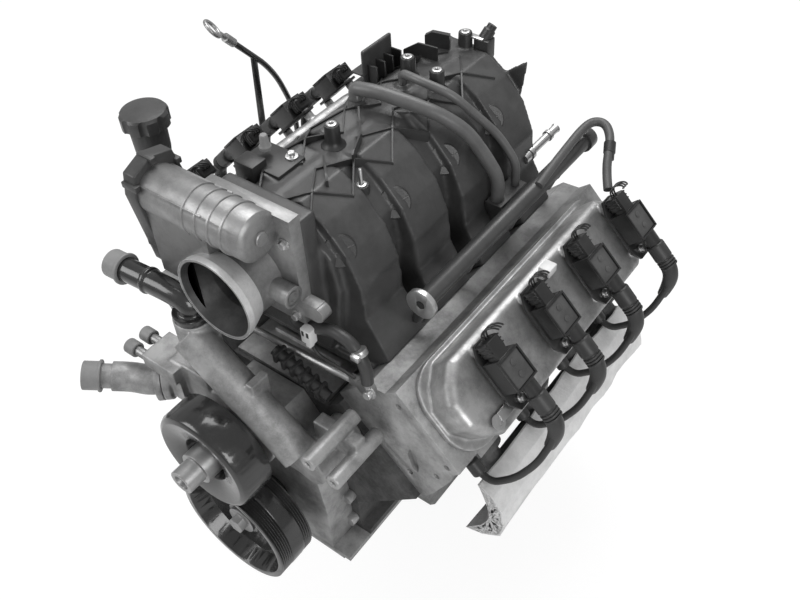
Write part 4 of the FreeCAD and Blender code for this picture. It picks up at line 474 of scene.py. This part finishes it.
shell = foundry(cad_copy("intake_manifold", "intake_shell", NYLON), 2.9, 2)
ribs = []
for step in range(5):
    low = FIRST_RIB + step * RIB_PITCH
    for side in (1, -1):
        ribs.append(crown_rib((side * RIB_INNER, low), (side * RIB_OUTER, low + RIB_LENGTH)))
        ribs.append(crown_rib((side * RIB_OUTER, low), (side * RIB_INNER, low + RIB_LENGTH)))
for start, end, proud, thick in (((-19, -285), (20, -330), 12, 2.4), ((20, -330), (41, -372), 12, 2.4),
                                 ((8, -388), (44, -424), 9, 3.2), ((-60, -132), (-10, -120), 20, 3.0),
                                 ((-48, -96), (-14, -84), 22, 7.0)):
    ribs.append(crown_rib(start, end, proud, thick))
for step in range(4):
    ribs.append(slab("fin", NYLON_DARK, (-68, -206 + step * 18, 452), (-50, -203 + step * 18, 504), None, 0.6, 1))
for level in (452, 470, 488):
    ribs.append(slab("fin", NYLON_DARK, (-90, -214, level), (-66, -150, level + 2.6), None, 0.6, 1))
SKIRT = ((17, -38), (16, -30), (12, -27), (10.4, -22), (9.9, -2), (9.2, -0.4))
PRESSED_RING = ((6.8, -1), (6.8, 0.8), (6.2, 1.2), (3.6, 1.2), (3.2, 0.6), (3.1, -0.2))
STUD_BOSS = (58, -380, 466)
for boss in ((-4, -355, 516), (0, -66, 508), (-20, -176, 516), (31, -180, 514), STUD_BOSS):
    foot = Matrix.Translation(Vector(boss) * MM)
    ribs.append(turned("skirt", NYLON_DARK, SKIRT, foot, 32))
    ribs.append(turned("insert", INSERT, PRESSED_RING, foot, 28))
ribs.append(turned("stud", INSERT, ((2.4, 0), (2.4, 20), (1.8, 21.5)), facing(STUD_BOSS, (-0.1, 0.1, 1)), 16))
for arch in range(4):
    for side in (1, -1):
        front = -467 + arch * RUNNER_PITCH + (0 if side > 0 else 14)
        cap = facing((side * 88, front + 4, 434), (side * 0.62, -0.62, 0.42))
        ribs.append(turned("weld_cap", NYLON_DARK, ((21, -14), (21, 1.2), (19.5, 2.4)), cap, 36))
        for turn in (20, 110):
            cross = cap @ Matrix.Rotation(math.radians(turn), 4, "Z")
            ribs.append(slab("cross", NYLON, (-19, -0.8, 1.5), (19, 0.8, 3.4), cross, 0.3, 1))
ribs.append(slab("sensor_case", NYLON_DARK, (12, -64, 470), (36, -44, 500), None, 2.0))
ribs.append(turned("sensor_plug", NYLON_DARK, ((9, 0), (9, 14), (7, 16), (7, 22)),
                   facing((24, -54, 498), (0.3, 0.5, 0.8)), 28))
ribs.append(slab("sensor_clip", INSERT, (6, -66, 500), (28, -56, 503), None, 0.8))
ribs.append(slab("air_sensor", NYLON_DARK, (-72, -462, 452), (-40, -436, 500), None, 2.4))
ribs.append(slab("air_sensor_foot", NYLON_DARK, (-78, -448, 476), (-12, -398, 490), None, 2.0))
ribs.append(turned("air_sensor_nose", CAP_GREY, ((8, 0), (8, 4), (6.2, 6), (5.2, 18), (4.2, 20)),
                   Matrix.Translation(Vector((-57, -420, 498)) * MM), 28))
ribs.append(turned("sensor_screw", INSERT, ((8, 0), (8, 2), (4.6, 2.4), (4.6, 7), (3.8, 7.8)),
                   Matrix.Translation(Vector((-26, -408, 490)) * MM), 24))
fitted(joined("intake_ribs", ribs), "moulded", "engine")
fitted(shell, "moulded", "engine", "intake_manifold")
fitted(rounded(cad_copy("intake_bolts", "intake_bolt_heads", PLATED), 0.5), "zinc", "engine", "intake_bolts")

# Throttle body: a die-cast barrel whose flared mouth is worn bright outside, with painted shade as a dark coat inside
# the bore, a banded motor housing across its top, a ringed shaft bush, and a black moulded gear cover held by clips.
# Thin sleeves give the mouth its clean edges between the bright lip and the painted shade.
THROTTLE_CAST = finish_of("Throttle casting", 0.36, 0.12, 0.6, 0.38, metal=0.75, grain=900, relief=0.3)
BRIGHT_LIP = finish_of("Scratched lip", 0.90, 0.46, 0.6, 0.34, metal=0.6, grain=420, relief=0.35)
# A dark coat for the inside of the bore: painted shade, where the deep bore lies in shadow.
MOUTH_SHADE = finish_of("Painted bore shade", 0.07, 0.02, 0.7, 0.42, metal=0.5, grain=700, relief=0.2)
BORE_LEVEL = 408


def coated_where(piece, coat, test):
    """Gives another coat to the faces whose corners all pass the test, in millimetres."""
    piece.data.materials.append(coat)
    index = len(piece.data.materials) - 1
    corners = [test(vertex.co / MM) for vertex in piece.data.vertices]
    for face in piece.data.polygons:
        if all(corners[corner] for corner in face.vertices):
            face.material_index = index


def open_ring(name, coat, front, back, thick=0.25):
    """A thin open sleeve round the throttle's bore, from one (y, radius) to another."""
    bpy.ops.object.select_all(action="DESELECT")
    bpy.ops.mesh.primitive_cone_add(vertices=96, radius1=front[1] * MM, radius2=back[1] * MM,
                                    depth=(back[0] - front[0]) * MM, end_fill_type="NOTHING")
    piece = bpy.context.active_object
    piece.name = name
    piece.data.transform(facing((0, (front[0] + back[0]) / 2, BORE_LEVEL), (0, 1, 0)))
    piece.data.materials.append(coat)
    return modified(piece, "SOLIDIFY", thickness=thick * MM, offset=0)


body = rounded(cad_copy("throttle_body", "throttle_casting", THROTTLE_CAST), 0.9)
WALL_REACH = 39.6
# The bore walls within WALL_REACH of the axis get the dark coat: painted shade inside the bore.
coated_where(body, MOUTH_SHADE, lambda spot: math.hypot(spot.x, spot.z - BORE_LEVEL) < WALL_REACH)
# The dark sleeve inside the mouth is painted shade of the bore; the two bright sleeves are the lip.
trim = [open_ring("lip_edge", BRIGHT_LIP, (-590.2, 57.2), (-582, 57.2)),
        open_ring("lip_flare", BRIGHT_LIP, (-582, 57.2), (-560, 49.6)),
        open_ring("mouth_painted_shade", MOUTH_SHADE, (-589.6, 53.4), (-556, 38.8))]
MOTOR_STATION, MOTOR_LEVEL = -546, 496
for step in range(4):
    trim.append(turned("band", THROTTLE_CAST, ((31.0, 0), (32.6, 1), (32.6, 3.4), (31.0, 4.4)),
                       facing((-42 + step * 20, MOTOR_STATION, MOTOR_LEVEL), (1, 0, 0)), 48))
trim.append(turned("motor_end", THROTTLE_CAST, ((31, 0), (28, 3.5), (24, 4.5), (9, 4.5), (9, 7), (8, 8)),
                   facing((47, MOTOR_STATION, MOTOR_LEVEL), (1, 0, 0)), 48))
BUSH_RINGS = ((14.6, -6), (14.6, 2.6), (13.8, 3.2), (11.4, 3.2), (11, 1), (8, 1), (7.6, 2.2), (5.6, 2.2), (5.2, 0.8))
trim.append(turned("bush", THROTTLE_CAST, BUSH_RINGS, facing((72, -534, BORE_LEVEL), (1, 0, 0)), 40))
for across, up in ((-48, 362), (62, 362), (62, 476), (-48, 476)):
    seat = facing((across, -522, up), (0, -1, 0))
    trim.append(turned("flange_screw", PLATED, ((7.4, 0), (7.4, 1.4), (5.4, 1.8)), seat, 24))
    trim.append(turned("flange_screw", PLATED, ((5.4, 1.6), (5.4, 6.2), (4.7, 7)), seat, 6))
fitted(joined("throttle_trim", trim), "bright_alloy", "engine")
fitted(body, "bright_alloy", "engine", "throttle_body")
PLATE = finish_of("Throttle plate", 0.20, 0.07, 0.5, 0.3, metal=0.85)
fitted(rounded(cad_copy("throttle_plate", "throttle_disc", PLATE), 0.3), "bright_alloy", "throttle_plate",
       "throttle_plate")
GEAR_BLACK = finish_of("Gear cover moulding", 0.034, 0.085, 0.4, 0.36, grain=1300, relief=0.2)
lid = [rounded(cad_copy("throttle_gear_cover", "gear_lid", GEAR_BLACK), 1.6)]
for station, up in ((-576, 514), (-546, 536), (-512, 516), (-508, 448), (-526, 388), (-566, 420)):
    lid.append(slab("clip", GEAR_BLACK, (-131, station - 4, up - 4), (-106, station + 4, up + 4), None, 1.0))
lid.append(slab("lid_panel", GEAR_BLACK, (-130.9, -560, 408), (-129.4, -522, 508), None, 0.5, 1))
fitted(joined("gear_lid", lid), "moulded", "engine", "throttle_gear_cover")

# Fuel rails and injectors: dark extruded rails with a pale flanged plug at the front, a ringed fuel inlet at the
# rear, and black injectors between rail and manifold. A grey loom leaves the left rail's rear end and turns down to
# the last coil.
RAIL_WASH = finish_of("Rail wash primer", 0.12, 0.06, 0.5, 0.26, metal=0.65, grain=1100, relief=0.15)
rails = rounded(cad_copy("fuel_rails", "rail_bars", RAIL_WASH), 0.9)
LEFT_PLUG_END, RIGHT_PLUG_END = -412.6, -388.6
coated_where(rails, INSERT, lambda spot: spot.y < (LEFT_PLUG_END if spot.x > 0 else RIGHT_PLUG_END))
fitted(rails, "rail_paint", "engine", "fuel_rails")
fitted(rounded(cad_copy("injectors", "injector_bodies", GEAR_BLACK), 0.5), "moulded", "engine", "injectors")
LOOM_GREY = finish_of("Loom sleeve", 0.085, 0.035, 0.4, 0.42, grain=700, relief=0.3)
fittings = []
# Each rail plug's hex recess is a dark hexagon laid on its face: painted shade of the hole.
for across, station in ((172, -421), (-172, -397)):
    fittings.append(turned("hex_recess_painted_shade", NYLON_DARK, ((6.4, -3), (6.4, 0.3), (5.6, 0.3)),
                           facing((across, station, 356), (0, -1, 0)), 6))
INLET_RINGS = ((8, 0), (8, 12), (10, 13), (10, 19), (6.4, 20), (6.4, 60), (8.4, 61), (8.4, 67), (6.4, 68), (6.4, 80),
               (7.6, 84))
fittings.append(turned("fuel_inlet", INSERT, INLET_RINGS, facing((120, -92, 352), (0.06, 0.99, 0.10)), 28))
LOOM_ROUTE = ((178, -150, 366), (176, -110, 373), (174, -60, 378), (174, -25, 384), (180, -4, 390), (198, 2, 390),
              (214, -12, 382), (224, -34, 374), (236, -62, 360), (252, -84, 348))
fittings.append(hose("loom", LOOM_GREY, LOOM_ROUTE, 6.6, 24))
fittings.append(turned("loom_collar", NYLON_DARK, ((8.6, -6), (8.6, 10), (7.4, 11), (7.4, 20)),
                       facing((222, -28, 376), (0.35, -0.7, -0.45)), 24))
fitted(joined("rail_fittings", fittings), "rail_paint", "engine")

# The front drive: gloss black pulleys, the crank bolt, and the bare steel pump shaft and fan hub. Each rides the body
# that it turns with.
GLOSS_BLACK = finish_of("Gloss black", 0.012, 0.05, 0.35, 0.16, coat=0.5, grain=500, relief=0.06)
for node, body in (("crank_pulley", "crank"), ("pump_pulley", "pump_rotor")):
    fitted(rounded(cad_copy(node, f"{node}_painted", GLOSS_BLACK), 0.9), "black_paint", body, node)
for node, body in (("crank_bolt", "crank"), ("pump_shaft", "pump_rotor"), ("fan_hub", "pump_rotor")):
    fitted(rounded(cad_copy(node, f"{node}_steel", PRESSED_STEEL), 0.6), "steel", body, node)

# Coolant and vent fittings: black moulded outlet elbow, grey push-on caps, steel pipes, rubber hoses with a spring
# clamp, and the purge valve. With them go a ribbed dark hose beside the pump, a pale sensor plug and its wire, and a
# white bridge between two coils.
elbow = foundry(cad_copy("outlet_elbow", "elbow_moulding", GLOSS_BLACK), 1.2, 2)
fitted(smoothed(elbow), "moulded", "engine", "outlet_elbow")
fitted(rounded(cad_copy("port_caps", "push_caps", CAP_GREY), 1.4), "cap_grey", "engine", "port_caps")
fitted(rounded(cad_copy("coolant_pipes", "steel_pipes", PRESSED_STEEL), 0.3), "steel", "engine", "coolant_pipes")
HOSE_GREY = finish_of("Grey hose", 0.125, 0.05, 0.45, 0.34, grain=700, relief=0.2)
HOSE_BLACK = finish_of("Black hose", 0.045, 0.02, 0.45, 0.38, grain=700, relief=0.2)
hoses = rounded(cad_copy("hoses", "hose_runs", HOSE_GREY), 0.3)
COOLANT_HOSE_STARTS = -480
coated_where(hoses, HOSE_BLACK, lambda spot: spot.y < COOLANT_HOSE_STARTS)
fitted(hoses, "rubber", "engine", "hoses")
extras = [turned("clamp", PLATED, ((9.4, -4), (9.7, -3.4), (9.7, 3.4), (9.4, 4)),
                 facing((152, -516, 345), (0.45, -0.05, -0.9)), 36),
          slab("clamp_ear", PLATED, (148, -530, 342), (160, -524, 350), None, 1.0),
          turned("flange_bolt", PLATED, ((9, 0), (9, 1.6), (6, 2), (6, 8), (5.2, 9)),
                 facing((166, -520, 284), (0, -1, 0.1)), 12)]
fitted(joined("hose_clips", extras), "zinc", "engine")
WHITE_NYLON = finish_of("White nylon", 0.72, 0.42, 0.3, 0.4, grain=1300, relief=0.1)
plug = [slab("bridge", WHITE_NYLON, (243, -258, 318), (261, -238, 331), None, 2.0),
        slab("bridge_tongue", NYLON_DARK, (248, -268, 315), (258, -232, 322), None, 1.2),
        slab("plug_case", WHITE_NYLON, (70, -530, 326), (86, -518, 350), None, 1.2),
        slab("plug_tail", WHITE_NYLON, (74, -528, 318), (82, -520, 328), None, 1.0),
        # The plug's two openings are thin dark slabs on its face: painted shade of the holes.
        slab("plug_hole_painted_shade", NYLON_DARK, (72.5, -530.6, 339), (76, -529.4, 347), None, 0.3),
        slab("plug_hole_painted_shade", NYLON_DARK, (80, -530.6, 339), (83.5, -529.4, 347), None, 0.3),
        hose("plug_wire", NYLON_DARK, ((78, -522, 320), (84, -522, 306), (96, -520, 300), (120, -518, 296),
                                       (140, -517, 290)), 2.2)]
for step in range(6):
    across, up = 28 + step * 13, 276 - step * 5.6
    plug.append(slab("hose_rib", NYLON_DARK, (across, -547, up), (across + 6, -524, up + 15), None, 2.0))
plug.append(hose("hose_core", NYLON_DARK, ((22, -535, 286), (60, -535, 269), (108, -535, 249)), 8, 16))
fitted(joined("sensor_plug", plug), "cap_grey", "engine")
fitted(rounded(cad_copy("purge_valve", "purge_case", GEAR_BLACK), 0.9), "moulded", "engine", "purge_valve")

# Oil filler and dipstick: a moulded tube with a scalloped cap, and a black steel tube with a bright pull loop. A thin
# strip lengthens the dipstick's blade down into its tube.
fitted(rounded(cad_copy("oil_filler_tube", "filler_neck", GEAR_BLACK), 0.9), "moulded", "engine",
       "oil_filler_tube")
fitted(rounded(cad_copy("oil_filler_cap", "filler_lid", NYLON), 1.6, 3), "moulded", "oil_filler_cap",
       "oil_filler_cap")
fitted(rounded(cad_copy("dipstick_tube", "dip_guide", GLOSS_BLACK), 0.4), "black_paint", "engine",
       "dipstick_tube")
PULL = Vector((0, -0.66411, 0.74764))
TUBE_MOUTH = Vector((-384, -159.5, 421))
STRIP_DEPTH = 108
stick = [rounded(cad_copy("dipstick", "dip_handle", PRESSED_STEEL), 0.3),
         turned("dip_strip", PRESSED_STEEL, ((1.8, 0), (1.8, 60)), facing(TUBE_MOUTH - PULL * STRIP_DEPTH, PULL), 12)]
fitted(joined("dip_blade", stick), "zinc", "dipstick", "dipstick")

# The stand for the picture: a pale floor under the sump, a soft sky, three broad lamps, and the camera, which looks
# down on the front corner as the photograph does. The camera sees floor and sky as almost white, while they light the
# engine as the greys that they are.
def whitened(tree, lit, plain, share):
    """Shows the camera the plain surface by the share given, and everything else the lit one."""
    path = tree.nodes.new("ShaderNodeLightPath")
    part = tree.nodes.new("ShaderNodeMath")
    part.operation = "MULTIPLY"
    part.inputs[1].default_value = share
    blend = tree.nodes.new("ShaderNodeMixShader")
    tree.links.new(path.outputs["Is Camera Ray"], part.inputs[0])
    tree.links.new(part.outputs["Value"], blend.inputs["Fac"])
    tree.links.new(lit, blend.inputs[1])
    tree.links.new(plain, blend.inputs[2])
    return blend.outputs["Shader"]


FLOOR_SIZE, FLOOR_GAP = 16, 0.001
bpy.ops.object.select_all(action="DESELECT")
bpy.ops.mesh.primitive_plane_add(size=FLOOR_SIZE, location=(0, 0, cad_box[0][2] - FLOOR_GAP))
floor = bpy.context.active_object
floor.name = "floor"
pale = bpy.data.materials.new("Pale floor")
pale.use_nodes = True
matt = pale.node_tree.nodes["Principled BSDF"]
matt.inputs["Base Color"].default_value = (0.72, 0.72, 0.72, 1)
matt.inputs["Roughness"].default_value = 0.9
glow = pale.node_tree.nodes.new("ShaderNodeEmission")
glow.inputs["Strength"].default_value = 1.12
pale.node_tree.links.new(whitened(pale.node_tree, matt.outputs["BSDF"], glow.outputs["Emission"], 0.8),
                         pale.node_tree.nodes["Material Output"].inputs["Surface"])
floor.data.materials.append(pale)

sky = bpy.data.worlds.new("Soft sky")
bpy.context.scene.world = sky
sky.use_nodes = True
sky.node_tree.nodes["Background"].inputs["Color"].default_value = (0.92, 0.92, 0.92, 1)
sky.node_tree.nodes["Background"].inputs["Strength"].default_value = 0.5
blank = sky.node_tree.nodes.new("ShaderNodeBackground")
blank.inputs["Color"].default_value = (1, 1, 1, 1)
sky.node_tree.links.new(whitened(sky.node_tree, sky.node_tree.nodes["Background"].outputs["Background"],
                                 blank.outputs["Background"], 1.0),
                        sky.node_tree.nodes["World Output"].inputs["Surface"])

CENTRE = Vector((0.0, -0.26, 0.15))


def lamp(label, place, size, watts):
    """A square soft lamp that faces the engine."""
    light = bpy.data.lights.new(label, "AREA")
    light.size = size
    light.energy = watts
    holder = bpy.data.objects.new(label, light)
    holder.location = place
    holder.rotation_euler = (CENTRE - Vector(place)).to_track_quat("-Z", "Y").to_euler()
    bpy.context.scene.collection.objects.link(holder)


lamp("overhead_lamp", (-0.5, 0.6, 2.6), 1.8, 52)
lamp("side_lamp", (2.2, -1.6, 1.4), 1.2, 24)
lamp("front_lamp", (-1.6, -2.2, 1.8), 1.4, 26)

AZIMUTH, ELEVATION, ROLL = math.radians(39.12), math.radians(44.99), math.radians(-3.52)
back = Vector((math.sin(AZIMUTH) * math.cos(ELEVATION), -math.cos(AZIMUTH) * math.cos(ELEVATION),
               math.sin(ELEVATION)))
level = Vector((math.cos(AZIMUTH), math.sin(AZIMUTH), 0))
upward = back.cross(level)
right = level * math.cos(ROLL) + upward * math.sin(ROLL)
above = upward * math.cos(ROLL) - level * math.sin(ROLL)
SENSOR_WIDTH, FOCAL_LENGTH = 36, 39.85
lens = bpy.data.cameras.new("picture")
lens.sensor_width = SENSOR_WIDTH
lens.lens = FOCAL_LENGTH
camera = bpy.data.objects.new("picture", lens)
camera.matrix_world = Matrix((right, above, back)).transposed().to_4x4()
camera.location = Vector((631.49, -1024.55, 1125.06)) * MM
bpy.context.scene.collection.objects.link(camera)
bpy.context.scene.camera = camera
bpy.context.scene.view_settings.view_transform = "Standard"
